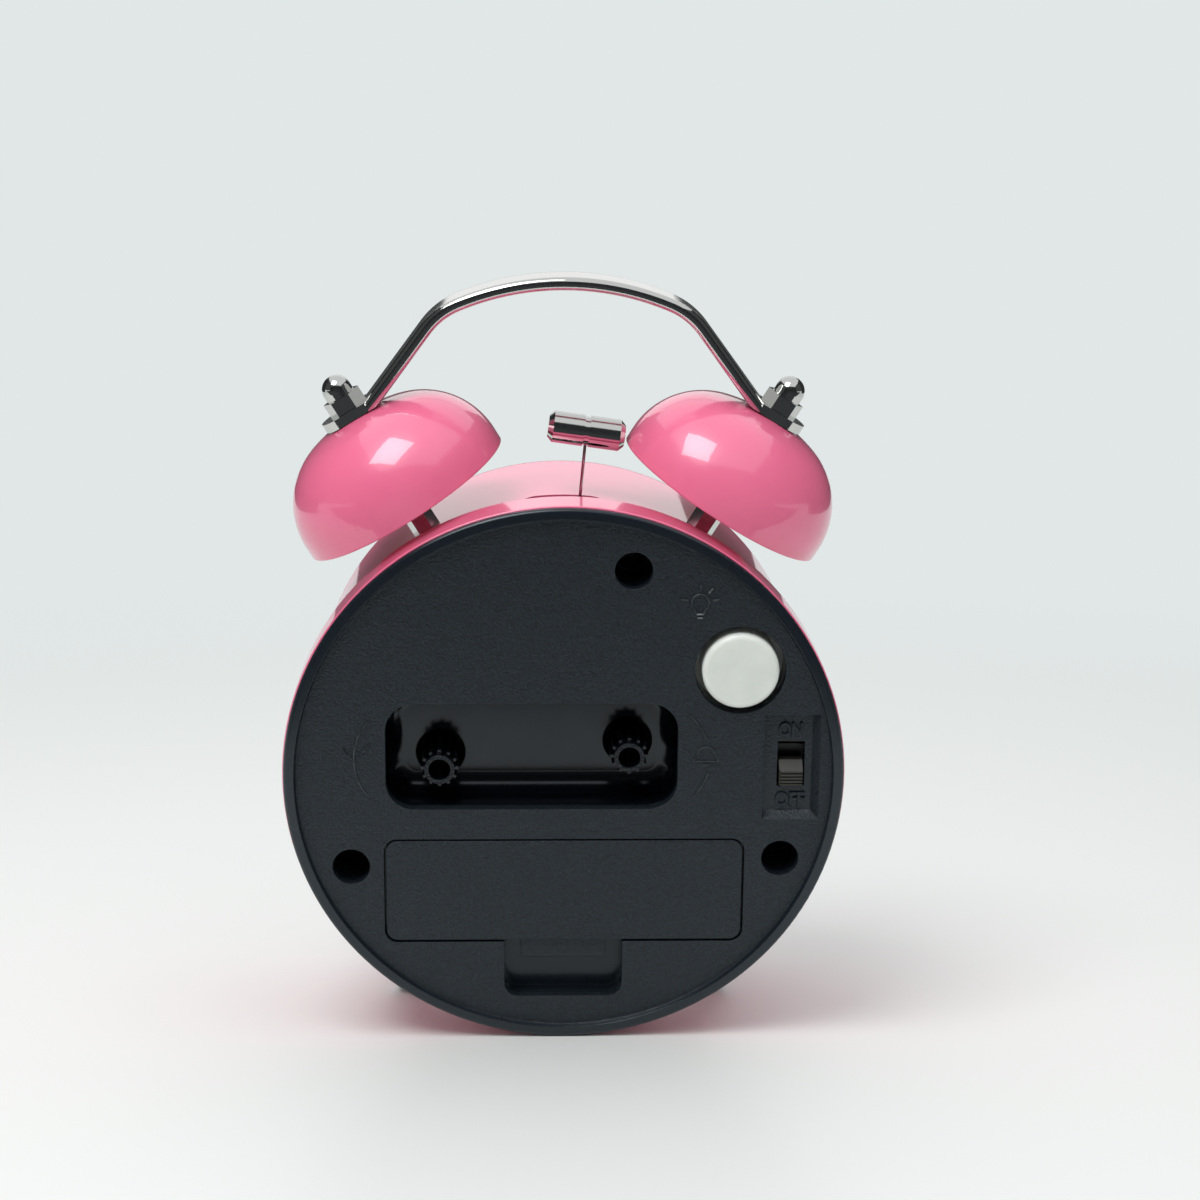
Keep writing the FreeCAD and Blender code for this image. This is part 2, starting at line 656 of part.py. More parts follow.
# Bezel at the front, with the rebate for the lens and a spigot in the drum.
piece("front_bezel", turned([
    ("bezel_opening", "-front_depth + bezel_slope"),
    ("bezel_opening + bezel_slope", "-front_depth"),
    ("case_radius - bezel_round", "-front_depth", "bezel_round"),
    ("case_radius", "-front_depth + bezel_round"),
    ("case_radius", "-shell_front"),
    ("bezel_spigot", "-shell_front"),
    ("bezel_spigot", "-spigot_depth"),
    ("ring_outer + hole_gap", "-spigot_depth"),
    ("ring_outer + hole_gap", "-lens_front + lens_thick"),
    ("lens_radius + hole_gap", "-lens_front + lens_thick"),
    ("lens_radius + hole_gap", "-lens_front"),
    ("bezel_opening", "-lens_front"),
]))
piece("front_lens", turned([
    ("0", "-lens_front"),
    ("lens_radius", "-lens_front"),
    ("lens_radius", "-lens_front + lens_thick"),
    ("0", "-lens_front + lens_thick"),
]))

# White ring between lens and dial, with the dial lamp in its top.
LAMP_Y = "-(lens_front - lens_thick + dial_front) / 2"
ring = turned([
    ("ring_foot", "-dial_front"),
    ("ring_top", "-lens_front + lens_thick"),
    ("ring_outer", "-lens_front + lens_thick"),
    ("ring_outer", "-dial_front"),
])
piece("dial_ring", cut(ring, [rod("Z", "0", LAMP_Y, "ring_foot - 1",
                                  "lamp_radius + thread_gap", "ring_outer - ring_foot + 2")]))
lamp = fuse([
    rod("Z", "0", LAMP_Y, "ring_foot", "lamp_radius", "ring_outer - ring_foot - thread_gap"),
    ball("0", LAMP_Y, "ring_foot", "lamp_radius"),
])
piece("dial_lamp", lamp)
piece("dial", cut(bar("0", "0", "dial_radius", "-dial_front", "-dial_back"),
                  [bar("0", "0", "dial_hole", "-dial_front - 1", "-dial_back + 1")]))

# Where the rear screws, the ears' screws and the ringer's screws are.
BOSSES = [("boss_top_x", "boss_top_z"), ("boss_right_x", "boss_right_z"),
          ("boss_left_x", "boss_left_z")]
EARS = [("-move_left - ear_reach", "ear_height"), ("move_right + ear_reach", "ear_height")]
STANDOFFS = [("standoff_low_x", "standoff_low_z"), ("standoff_high_x", "standoff_high_z")]

# Frame disc behind the dial, with the pillars, the button's tower and the standoffs.
WALL_FRONT = "-ringer_back - ringer_sheet"
solids = [bar("0", "0", "frame_radius", "-dial_back", "-frame_back"),
          bar("button_x", "button_z", "tower_radius", "-frame_back - 0.5",
              "-leaf_depth - leaf_thick")]
tools = [bar("0", "0", "frame_hole", "-dial_back - 1", "-frame_back + 1"),
         bar("button_x", "button_z", "tower_bore", "-frame_back", "-leaf_depth")]
for x, z in BOSSES:
    solids.append(bar(x, z, "pillar_radius", "-frame_back - 0.5", "-pillar_back"))
    tools.append(bar(x, z, "screw_radius + thread_gap", "-boss_floor - screw_length - 1",
                     "-pillar_back + 1"))
for x, z in STANDOFFS:
    solids.append(bar(x, z, "standoff_radius", "-frame_back - 0.5", WALL_FRONT))
    tools.append(bar(x, z, "small_screw + thread_gap",
                     "-ringer_back - small_length - 0.5", WALL_FRONT + " + 1"))
for x, z in EARS:
    tools.append(bar(x, z, "small_screw + thread_gap", "-dial_back - 1", "-frame_back + 1"))
piece("inner_frame", cut(fuse(solids), tools))

# Gear layers, from the plate to the rear: front and rear depth of each.
ALARM_FRONT = "-plate_back + layer_gap"
ALARM_BACK = ALARM_FRONT + " + gear_thick"
HOUR_FRONT = ALARM_BACK + " + layer_gap"
HOUR_BACK = HOUR_FRONT + " + gear_thick"
MINUTE_FRONT = HOUR_BACK + " + layer_gap"
MINUTE_BACK = MINUTE_FRONT + " + gear_thick"
CENTRE_FRONT = MINUTE_BACK + " + layer_gap"
CENTRE_BACK = CENTRE_FRONT + " + thin_gear"
THIRD_FRONT = CENTRE_BACK + " + layer_gap"
THIRD_BACK = THIRD_FRONT + " + thin_gear"
SECOND_FRONT = THIRD_BACK + " + layer_gap"
SECOND_BACK = SECOND_FRONT + " + thin_gear"
FIFTH_FRONT = SECOND_BACK + " + layer_gap"
FIFTH_BACK = FIFTH_FRONT + " + fine_gear"

# Arbors of the train. The minute wheel stands where it meets both the centre and the
# gear on the time knob's arbor.
TRAIN = number("train_radius")
TIME = math.hypot(number("time_x"), number("time_z"))
TIME_TURN = math.degrees(math.atan2(number("time_z"), number("time_x")))
MINUTE_MODULE = "train_radius / 24"
TIME_REACH = number(MINUTE_MODULE) * 31
cosine = (TRAIN ** 2 + TIME ** 2 - TIME_REACH ** 2) / (2 * TRAIN * TIME)
MINUTE_TURN = TIME_TURN + math.degrees(math.acos(cosine))
THIRD_TURN = -45.0
FIFTH_TURN = 225.0


def arbor_at(turn, reach="train_radius"):
    return ("(%s) * cos(%.9f)" % (reach, turn), "(%s) * sin(%.9f)" % (reach, turn))


MINUTE_X, MINUTE_Z = arbor_at(MINUTE_TURN)
THIRD_X, THIRD_Z = arbor_at(THIRD_TURN)
FIFTH_X, FIFTH_Z = arbor_at(FIFTH_TURN)
ROTOR_X, ROTOR_Z = arbor_at(FIFTH_TURN, "train_radius + rotor_reach")
ALARM_REACH = math.hypot(number("alarm_x"), number("alarm_z"))
ALARM_TURN = math.degrees(math.atan2(number("alarm_z"), number("alarm_x")))
ALARM_MODULE = "sqrt(alarm_x ^ 2 + alarm_z ^ 2) / 36"

# Plate of the movement with its bearing holes and the post of the minute wheel.
plate = fuse([
    block("-move_left", "move_right", "-frame_back", "-plate_back", "-move_low", "move_high"),
    bar(MINUTE_X, MINUTE_Z, "pivot_radius", "-frame_back", MINUTE_BACK),
])
bearings = [bar("0", "0", "alarm_outer + pivot_gap", "-frame_back - 1", "-plate_back + 1")]
for x, z, radius in ((THIRD_X, THIRD_Z, "pivot_radius"), (FIFTH_X, FIFTH_Z, "pivot_radius"),
                     (ROTOR_X, ROTOR_Z, "pivot_radius"), ("time_x", "time_z", "knob_arbor"),
                     ("alarm_x", "alarm_z", "knob_arbor")):
    bearings.append(bar(x, z, radius + " + pivot_gap", "-frame_back - 1", "-plate_back + 1"))
piece("movement_plate", cut(plate, bearings))

# Case over the movement, open towards the plate, with two ears.
solids = [block("-move_left", "move_right", "-plate_back", "-move_rear",
                "-move_low", "move_high")]
tools = [block("-move_left + move_wall", "move_right - move_wall", "-plate_back - 1",
               "-move_rear - move_wall", "-move_low + move_wall", "move_high - move_wall")]
for side, x in (("-", EARS[0][0]), ("+", EARS[1][0])):
    inner = "-move_left + 0.5" if side == "-" else "move_right - 0.5"
    ends = (x, inner) if side == "-" else (inner, x)
    solids.append(block(ends[0], ends[1], "-frame_back", "-frame_back + ear_thick",
                        "ear_height - small_head - 0.4", "ear_height + small_head + 0.4"))
    solids.append(bar(x, "ear_height", "small_head + 0.4", "-frame_back",
                      "-frame_back + ear_thick"))
    tools.append(bar(x, "ear_height", "small_screw + hole_gap", "-frame_back - 1",
                     "-frame_back + ear_thick + 1"))
tools.append(block("-move_left", "move_right", "-frame_back - 1", "-plate_back",
                   "-move_low", "move_high"))
for x, z, radius in (("0", "0", "arbor_radius"), (THIRD_X, THIRD_Z, "pivot_radius"),
                     (FIFTH_X, FIFTH_Z, "pivot_radius"), (ROTOR_X, ROTOR_Z, "pivot_radius"),
                     ("time_x", "time_z", "knob_arbor"), ("alarm_x", "alarm_z", "knob_arbor")):
    tools.append(bar(x, z, radius + " + pivot_gap", "-move_rear - move_wall - 1",
                     "-move_rear + 1"))
piece("movement_case", cut(fuse(solids), tools))

# Stator, coil, circuit board, crystal and the alarm's contact leaf.
STATOR_BACK = "-move_rear - move_wall - 1.3"
STATOR_FRONT = STATOR_BACK + " - stator_thick"
STATOR_MID = STATOR_BACK + " - stator_thick / 2"
stator = fuse([
    block("-move_left + move_wall", "(%s) + stator_hole + stator_web" % ROTOR_X, STATOR_FRONT,
          STATOR_BACK,
          "-move_low + move_wall", "(%s) + stator_hole + 1" % ROTOR_Z),
    block("(%s) + stator_hole - 0.5" % ROTOR_X, "11", STATOR_FRONT, STATOR_BACK,
          "coil_height - 0.8", "coil_height + 0.8"),
    block("9.4", "11", STATOR_FRONT, "-move_rear - move_wall", "coil_height - 1.7",
          "coil_height + 1.7"),
])
piece("stator", cut(stator, [bar(ROTOR_X, ROTOR_Z, "stator_hole", STATOR_FRONT + " - 1",
                                 STATOR_BACK + " + 1")]))
coil = rod("X", "-6.8", STATOR_MID, "coil_height", "coil_radius", "16")
piece("coil", cut(coil, [block("-8", "11", STATOR_FRONT + " - thread_gap",
                               STATOR_BACK + " + thread_gap", "coil_height - 0.8 - thread_gap",
                               "coil_height + 0.8 + thread_gap")]))
piece("circuit_board", block("9.0", "24.5", "-plate_back", "-plate_back + 0.8",
                             "-move_low + move_wall + 0.5", "-8.5"))
piece("quartz_crystal", rod("X", "12.0", "-plate_back + 1.8", "-11.5", "1.0", "6.0"))
piece("alarm_contact", block("-move_left + move_wall", "alarm_x + 2.0", ALARM_BACK + " + 0.4",
                             ALARM_BACK + " + 0.6", "-3.4", "-1.4"))

# Wheels of the movement, each with its pinion, arbor or tube in one moulding.
SECOND_PHASE = 4.0
FIFTH_MODULE = "train_radius / 24"
THIRD_MODULE = "train_radius / 36"
CENTRE_MODULE = "train_radius / 34"
HOUR_MODULE = "train_radius / 25"
ROTOR_MODULE = "rotor_reach / 28"
third_phase = meshed(8, SECOND_PHASE, THIRD_TURN, 64)
fifth_pinion_phase = meshed(40, SECOND_PHASE, FIFTH_TURN, 8)
rotor_phase = meshed(48, 3.0, FIFTH_TURN, 8)
centre_phase = meshed(8, 11.0, THIRD_TURN + 180, 60)
minute_phase = meshed(12, 7.0, MINUTE_TURN, 36)
hour_phase = meshed(10, 5.0, MINUTE_TURN + 180, 40)
time_direction = math.degrees(math.atan2(
    number("time_z") - number(MINUTE_Z), number("time_x") - number(MINUTE_X)))
time_phase = meshed(36, minute_phase, time_direction, 26)
alarm_phase = meshed(48, 2.0, ALARM_TURN, 24)

# Hands from the dial outwards: depth of the rear face of each.
ALARM_HAND = "-dial_front - 0.9"
HOUR_HAND = ALARM_HAND + " - hand_thick - hand_gap"
MINUTE_HAND = HOUR_HAND + " - hand_thick - hand_gap"
SECOND_HAND = MINUTE_HAND + " - hand_thick - hand_gap"


def end_of(hand):
    return hand + " + hand_thick * -1 - tube_proud"


PIVOT_FRONT = "-frame_back + 0.3"
PIVOT_REAR = "-move_rear - 0.2"
piece("second_wheel", fuse([
    bar("0", "0", "arbor_radius", end_of(SECOND_HAND), PIVOT_REAR),
    gear(40, FIFTH_MODULE, "thin_gear", SECOND_PHASE, "0", SECOND_FRONT, "0"),
    gear(8, THIRD_MODULE, "thin_gear + layer_gap", SECOND_PHASE, "0", THIRD_FRONT, "0"),
]))
piece("fifth_wheel", fuse([
    bar(FIFTH_X, FIFTH_Z, "pivot_radius", PIVOT_FRONT, PIVOT_REAR),
    gear(48, ROTOR_MODULE, "fine_gear", 3.0, FIFTH_X, FIFTH_FRONT, FIFTH_Z),
    gear(8, FIFTH_MODULE, "thin_gear + layer_gap", fifth_pinion_phase,
         FIFTH_X, SECOND_FRONT, FIFTH_Z),
]))
piece("rotor", fuse([
    bar(ROTOR_X, ROTOR_Z, "pivot_radius", PIVOT_FRONT, PIVOT_REAR),
    gear(8, ROTOR_MODULE, "fine_gear", rotor_phase, ROTOR_X, FIFTH_FRONT, ROTOR_Z),
    bar(ROTOR_X, ROTOR_Z, "magnet_radius", STATOR_MID + " - magnet_length / 2",
        STATOR_MID + " + magnet_length / 2"),
]))
piece("third_wheel", fuse([
    bar(THIRD_X, THIRD_Z, "pivot_radius", PIVOT_FRONT, PIVOT_REAR),
    gear(64, THIRD_MODULE, "thin_gear", third_phase, THIRD_X, THIRD_FRONT, THIRD_Z),
    gear(8, CENTRE_MODULE, "thin_gear + layer_gap", 11.0, THIRD_X, CENTRE_FRONT, THIRD_Z),
]))
centre = fuse([
    bar("0", "0", "cannon_outer", end_of(MINUTE_HAND), CENTRE_BACK),
    gear(60, CENTRE_MODULE, "thin_gear", centre_phase, "0", CENTRE_FRONT, "0"),
    gear(12, MINUTE_MODULE, "gear_thick + layer_gap", 7.0, "0", MINUTE_FRONT, "0"),
])
piece("centre_wheel", cut(centre, [bar("0", "0", "arbor_radius + pivot_gap",
                                       end_of(MINUTE_HAND) + " - 1", CENTRE_BACK + " + 1")]))
minute = fuse([
    gear(36, MINUTE_MODULE, "gear_thick", minute_phase, MINUTE_X, MINUTE_FRONT, MINUTE_Z),
    gear(10, HOUR_MODULE, "gear_thick + layer_gap", 5.0, MINUTE_X, HOUR_FRONT, MINUTE_Z),
])
piece("minute_wheel", cut(minute, [bar(MINUTE_X, MINUTE_Z, "pivot_radius + pivot_gap",
                                       HOUR_FRONT + " - 1", MINUTE_BACK + " + 1")]))
hour = fuse([
    bar("0", "0", "hour_outer", end_of(HOUR_HAND), HOUR_BACK),
    gear(40, HOUR_MODULE, "gear_thick", hour_phase, "0", HOUR_FRONT, "0"),
])
piece("hour_wheel", cut(hour, [bar("0", "0", "cannon_outer + pivot_gap",
                                   end_of(HOUR_HAND) + " - 1", HOUR_BACK + " + 1")]))
alarm = fuse([
    bar("0", "0", "alarm_outer", end_of(ALARM_HAND), ALARM_BACK),
    gear(48, ALARM_MODULE, "gear_thick", 2.0, "0", ALARM_FRONT, "0"),
])
piece("alarm_wheel", cut(alarm, [bar("0", "0", "hour_outer + pivot_gap",
                                     end_of(ALARM_HAND) + " - 1", ALARM_BACK + " + 1")]))

# Hands: tapered leaves on round hubs, turned to the time that is shown.


def hand(length, width, tail, hub, tube, rear, angle):
    leaf = slab([
        ("-(%s) / 2" % width, "-(%s)" % tail),
        ("(%s) / 2" % width, "-(%s)" % tail),
        ("(%s) / 2" % width, "(%s) * 0.8" % length),
        ("0.15", length),
        ("-0.15", length),
        ("-(%s) / 2" % width, "(%s) * 0.8" % length),
    ], rear, "hand_thick")
    whole = fuse([leaf, bar("0", "0", hub, "(%s) - hand_thick" % rear, rear)])
    bore = bar("0", "0", tube + " + thread_gap", "(%s) - hand_thick - 1" % rear, rear + " + 1")
    return turn_to(cut(whole, [bore]), "0", angle)


piece("alarm_hand", hand("alarm_hand_length", "1.2", "4.0", "alarm_outer + 1.2", "alarm_outer",
                         ALARM_HAND, "alarm_hour * 30"))
piece("hour_hand", hand("hour_hand_length", "2.4", "5.0", "hour_outer + 1.6", "hour_outer",
                        HOUR_HAND, "(shown_hour + shown_minute / 60) * 30"))
piece("minute_hand", hand("minute_hand_length", "1.8", "6.0", "cannon_outer + 1.6",
                          "cannon_outer", MINUTE_HAND, "shown_minute * 6"))
piece("second_hand", hand("second_hand_length", "0.8", "8.0", "arbor_radius + 1.2",
                          "arbor_radius", SECOND_HAND, "0"))

# Setting knobs: hollow ribbed tubes in the recess, on arbors that reach into the movement.


def knob(x, z, teeth, module, phase, front, pivot):
    body = turned([
        ("0", "-knob_foot"),
        ("knob_radius", "-knob_foot"),
        ("knob_radius", "-knob_end"),
        ("knob_bore", "-knob_end"),
        ("knob_bore", "-knob_end - knob_bore_depth"),
        ("0", "-knob_end - knob_bore_depth"),
    ])
    rib = outline(body, "XZ_Plane", [
        ("knob_radius - 0.3", "-rib_width / 2"),
        ("rib_radius", "-rib_width / 2"),
        ("rib_radius", "rib_width / 2"),
        ("knob_radius - 0.3", "rib_width / 2"),
    ], "knob_end + rib_set_back")
    pad = body.newObject("PartDesign::Pad", "Rib")
    pad.Profile = rib
    pad.setExpression("Length", bind("rib_length"))
    ribs = body.newObject("PartDesign::PolarPattern", "Ribs")
    ribs.Originals = [pad]
    ribs.Axis = (origin_of(body, "Y_Axis"), [""])
    ribs.Angle = 360
    ribs.setExpression("Occurrences", bind("rib_count"))
    body.Tip = ribs
    at(body, x, "0", z)
    arbor = bar(x, z, "knob_arbor", pivot, "-knob_foot + 0.5")
    return fuse([body, arbor, gear(teeth, module, "gear_thick", phase, x, front, z)])


piece("time_knob", knob("time_x", "time_z", 26, MINUTE_MODULE, time_phase, MINUTE_FRONT,
                        PIVOT_FRONT))
piece("alarm_knob", knob("alarm_x", "alarm_z", 24, ALARM_MODULE, alarm_phase, ALARM_FRONT,
                         PIVOT_FRONT))

# Back cover: plate, bead over the lip and skirt inside it, with recesses, bay, bosses
# and guides.
SKIRT = "skirt_radius - skirt_wall"
cover = turned([
    ("0", "-plate_thick"),
    (SKIRT, "-plate_thick"),
    (SKIRT, "-skirt_depth"),
    ("skirt_radius", "-skirt_depth"),
    ("skirt_radius", "-lip_back"),
    ("cover_radius", "-lip_back"),
    ("cover_radius", "bead_proud - bead_round", "bead_round"),
    ("cover_radius - bead_round", "bead_proud"),
    ("bead_inner + bead_slope", "bead_proud"),
    ("bead_inner", "0"),
    ("0", "0"),
])
UNDER = "-plate_thick + 0.5"
DOOR_FLOOR = "door_thick + loose_gap"
BAY_LOW = "door_low + bay_ledge"
BAY_HIGH = "door_high - bay_ledge"
solids = [
    cover,
    rounded_box("recess_left - recess_wall", "recess_right + recess_wall",
                "recess_low - recess_wall", "recess_high + recess_wall",
                "recess_corner + recess_wall", UNDER, "recess_floor + recess_wall - 1.5"),
    block("-bay_half - bay_wall", "bay_half + bay_wall", "-bay_depth - bay_wall", UNDER,
          BAY_LOW + " - bay_wall", BAY_HIGH + " + bay_wall"),
    block("door_left - rim_width", "door_right + rim_width", "-rim_depth", UNDER,
          "door_low - rim_width", "door_high + rim_width"),
    block("-notch_half - notch_wall", "notch_half + notch_wall", "-notch_depth - notch_wall",
          UNDER, "notch_low - notch_wall", BAY_LOW),
    bar("button_x", "button_z", "button_guide", "-skirt_depth", UNDER),
    block("switch_left + 0.3", "switch_right + 0.9", "-switch_floor", UNDER,
          "switch_low - 0.75", "switch_high + 0.55"),
]
recess = rounded_box("recess_left", "recess_right", "recess_low", "recess_high",
                     "recess_corner", "1", "recess_floor + 1")
soften(recess, lambda edge: edge.BoundBox.YLength < 0.001
       and abs(edge.BoundBox.YMin + number("recess_floor")) < 0.001, "recess_round")
wedge = doc.addObject("Part::Wedge", "SwitchRecess")
for prop, text in (("Xmin", "switch_left + switch_slope"), ("Xmax", "switch_right"),
                   ("Ymin", "-switch_depth"), ("Ymax", "0"),
                   ("Zmin", "switch_low + switch_slope"), ("Zmax", "switch_high"),
                   ("X2min", "switch_left"), ("X2max", "switch_right"),
                   ("Z2min", "switch_low"), ("Z2max", "switch_high")):
    wedge.setExpression(prop, bind(text))
tools = [
    recess,
    bar("time_x", "time_z", "stem_hole", "-recess_floor - recess_wall - 1", "-1"),
    bar("alarm_x", "alarm_z", "stem_hole", "-recess_floor - recess_wall - 1", "-1"),
    rounded_box("door_left", "door_right", "door_low", "door_high", "door_corner", "1",
                DOOR_FLOOR + " + 1"),
    block("-bay_half", "bay_half", "-bay_depth", "1", BAY_LOW, BAY_HIGH),
    slab([
        ("-notch_half", "door_low + 0.07"),
        ("-notch_half", "notch_low + notch_corner", "notch_corner"),
        ("-notch_half + notch_corner", "notch_low"),
        ("notch_half - notch_corner", "notch_low", "notch_corner"),
        ("notch_half", "notch_low + notch_corner"),
        ("notch_half", "door_low + 0.07"),
    ], "1", "notch_depth + 1"),
    bar("button_x", "button_z", "button_bore", "-skirt_depth - 1", "1"),
    wedge,
    block("slider_x - slider_width / 2 - loose_gap", "slider_x + slider_width / 2 + loose_gap",
          "-switch_floor - 1", "0", "slider_low - loose_gap",
          "slider_low + slider_length + slider_travel + loose_gap"),
]
for side in ("-", ""):
    x0 = side + "hook_x - hook_width / 2 - loose_gap"
    x1 = side + "hook_x + hook_width / 2 + loose_gap"
    tools.append(block(x0, x1, "-hook_room", "-plate_thick + 0.2",
                       BAY_HIGH + " - 0.1", "door_high"))
    tools.append(block(x0, x1, "-hook_room", "-plate_thick",
                       BAY_HIGH, "door_high + hook_reach + 0.6"))
bosses = []
for x, z in BOSSES:
    bosses.append(bar(x, z, "boss_radius", "-pillar_back", UNDER))
    tools.append(bar(x, z, "boss_bore", "-boss_floor", "1"))
    tools.append(bar(x, z, "screw_radius + hole_gap", "-pillar_back - 1", "1"))
whole = cut(fuse(solids + bosses), tools)

# Below the plate the tubs are pieces of their own, welded under its windows; the finger
# notch's tub stands against the battery's. The plate itself is an upper and a lower piece
# that meet between the knobs and the battery.
low_room = block("-cover_radius - 1", "cover_radius + 1", "-bay_depth - bay_wall - 1",
                 "bead_proud + 1", "-cover_radius - 1", "cover_split")
knob_room = block("recess_left - recess_wall", "recess_right + recess_wall",
                  "-recess_floor - recess_wall - 1", "-plate_thick",
                  "recess_low - recess_wall", "recess_high + recess_wall")
bay_room = block("door_left - rim_width", "door_right + rim_width",
                 "-bay_depth - bay_wall - 1", "-plate_thick",
                 "door_low - rim_width", "door_high + rim_width")
notch_room = block("-notch_half - notch_wall", "notch_half + notch_wall",
                   "-notch_depth - notch_wall - 1", "-plate_thick",
                   "notch_low - notch_wall", "door_low - rim_width")
piece("back_cover", cut(whole, [knob_room, low_room]))
piece("cover_low", cut(shared(whole, low_room), [bay_room, notch_room]))
piece("knob_tub", shared(whole, knob_room))
piece("battery_tub", group([shared(whole, bay_room), shared(whole, notch_room)]))

screws = []
for x, z in BOSSES:
    screws.append(fuse([
        bar(x, z, "screw_radius", "-boss_floor - screw_length", "-boss_floor + 0.5"),
        bar(x, z, "screw_head", "-boss_floor", "-boss_floor + head_height"),
    ]))
piece("back_screws", group(screws))

# Battery cover with its hooks and the sloping tongue in the notch.
DOOR_X0 = "door_left + loose_gap"
DOOR_X1 = "door_right - loose_gap"
DOOR_Z0 = "door_low + loose_gap"
DOOR_Z1 = "door_high - loose_gap"
door = rounded_box(DOOR_X0, DOOR_X1, DOOR_Z0, DOOR_Z1, "door_corner - loose_gap", "0",
                   "door_thick")
soften(door, lambda edge: abs(edge.BoundBox.YMin) < 0.001, "door_edge")
solids = [door]
for side in ("-", ""):
    x0 = side + "hook_x - hook_width / 2"
    x1 = side + "hook_x + hook_width / 2"
    low = BAY_HIGH + " - 0.7"
    deep = "-plate_thick - loose_gap - hook_thick"
    solids.append(block(x0, x1, deep, "-door_thick + 0.5", low, DOOR_Z1 + " - 0.1"))
    solids.append(block(x0, x1, deep, "-plate_thick - loose_gap", low,
                        "door_high + hook_reach - loose_gap"))
tongue_body = doc.addObject("PartDesign::Body", "Tongue")
tongue_sketch = outline(tongue_body, "YZ_Plane", [
    ("-0.5", DOOR_Z0 + " + 1"),
    ("-door_thick", DOOR_Z0 + " + 1"),
    ("-door_thick", DOOR_Z0 + " - 0.7"),
    ("-tongue_drop - 1", DOOR_Z0 + " - tongue_reach"),
    ("-tongue_drop", DOOR_Z0 + " - tongue_reach"),
    ("-0.5", DOOR_Z0),
])
tongue = tongue_body.newObject("PartDesign::Pad", "Tongue")
tongue.Profile = tongue_sketch
tongue.Midplane = True
tongue.setExpression("Length", bind("2 * tongue_half"))
piece("battery_cover", fuse(solids + [tongue_body]))

# Contacts of the battery.
BAY_MID = "(%s + %s) / 2" % (BAY_LOW, BAY_HIGH)
CELL_Y = "-(%s + bay_depth) / 2" % DOOR_FLOOR
contact = block("-bay_half", "-bay_half + contact_sheet", "-bay_depth + 1.5",
                "-door_thick - 2.5", BAY_LOW + " + 1.5", BAY_HIGH + " - 1.5")
coil_wire = wound("cell_radius", "cell_radius * 0.6", "cell_reach - 1.5 * cell_wire", 3.5,
                  "cell_wire", "X", "-bay_half + contact_sheet + cell_wire * 0.45",
                  CELL_Y, BAY_MID)
piece("battery_spring", fuse([contact, coil_wire]))
piece("battery_plate", fuse([
    block("bay_half - contact_sheet", "bay_half", "-bay_depth + 1.5", "-door_thick - 2.5",
          BAY_LOW + " + 1.5", BAY_HIGH + " - 1.5"),
    rod("X", "bay_half - contact_sheet - 0.8", CELL_Y, BAY_MID, "2.8", "1.0"),
]))

# Light button on its spring over the lamp's contact leaf.
BUTTON_TOP = "button_proud"
FLANGE_TOP = "-skirt_depth - loose_gap"
FLANGE_LOW = FLANGE_TOP + " - flange_thick"
button = turned([
    ("0", "-leaf_depth + button_travel + loose_gap"),
    ("button_stem", "-leaf_depth + button_travel + loose_gap"),
    ("button_stem", FLANGE_LOW),
    ("flange_radius", FLANGE_LOW),
    ("flange_radius", FLANGE_TOP),
    ("button_radius", FLANGE_TOP),
    ("button_radius", BUTTON_TOP + " - button_round", "button_round"),
    ("button_radius - button_round", BUTTON_TOP),
    ("0", BUTTON_TOP),
])
piece("light_button", button, FreeCAD.Placement(vector("button_x", "0", "button_z"),
                                                FreeCAD.Rotation()))
piece("lamp_contact", block("button_x - tower_radius", "button_x + tower_radius",
                            "-leaf_depth - leaf_thick", "-leaf_depth",
                            "button_z - leaf_width / 2", "button_z + leaf_width / 2"))
SPRING_LOW = "-leaf_depth + spring_wire * 0.52"
piece("button_spring", wound("spring_radius", "spring_radius",
                             "(%s) - (%s) - spring_wire * 0.52" % (FLANGE_LOW, SPRING_LOW),
                             5, "spring_wire", "Y", "button_x", SPRING_LOW, "button_z"))

# Alarm slider in its small case, over a contact leaf.
NUB_X0 = "slider_x - slider_width / 2"
NUB_X1 = "slider_x + slider_width / 2"
NUB_Z1 = "slider_low + slider_length"
BASE_TOP = "-switch_floor - slider_sink"
nub_corners = [(BASE_TOP + " - 0.2", "slider_low"), ("-slider_top", "slider_low")]
for turn in range(4):
    start = "slider_low + 0.2 + %d * groove_pitch" % turn
    nub_corners.append(("-slider_top", start))
    nub_corners.append(("-slider_top - groove_sink", start + " + 0.06"))
    nub_corners.append(("-slider_top - groove_sink", start + " + groove_width - 0.06"))
    nub_corners.append(("-slider_top", start + " + groove_width"))
nub_corners.append(("-slider_top", "slider_low + 0.2 + 4 * groove_pitch"))
nub_corners.append(("-slider_top - facet_drop", NUB_Z1 + " - 0.15"))
nub_corners.append((BASE_TOP + " - 0.2", NUB_Z1))
nub_body = doc.addObject("PartDesign::Body", "Nub")
nub_sketch = outline(nub_body, "YZ_Plane", nub_corners)
nub = nub_body.newObject("PartDesign::Pad", "Nub")
nub.Profile = nub_sketch
nub.setExpression("Length", bind("slider_width"))
at(nub_body, NUB_X0, "0", "0")
bevel = block(NUB_X1 + " - 0.3", NUB_X1 + " + 0.7", "-slider_top", "-slider_top + 1",
              "slider_low - 1", NUB_Z1 + " + 1")
bevel.Placement = FreeCAD.Placement(bevel.Placement.Base, FreeCAD.Rotation(ABOUT_Z, -45))
base = block(NUB_X0 + " - slider_side", NUB_X1 + " + slider_side", BASE_TOP + " - slider_thick",
             BASE_TOP, "slider_low - slider_foot", NUB_Z1 + " + slider_foot")
piece("alarm_slider", fuse([base, cut(nub_body, [bevel])]))
IN_X0 = NUB_X0 + " - slider_side - loose_gap"
IN_X1 = NUB_X1 + " + slider_side + loose_gap"
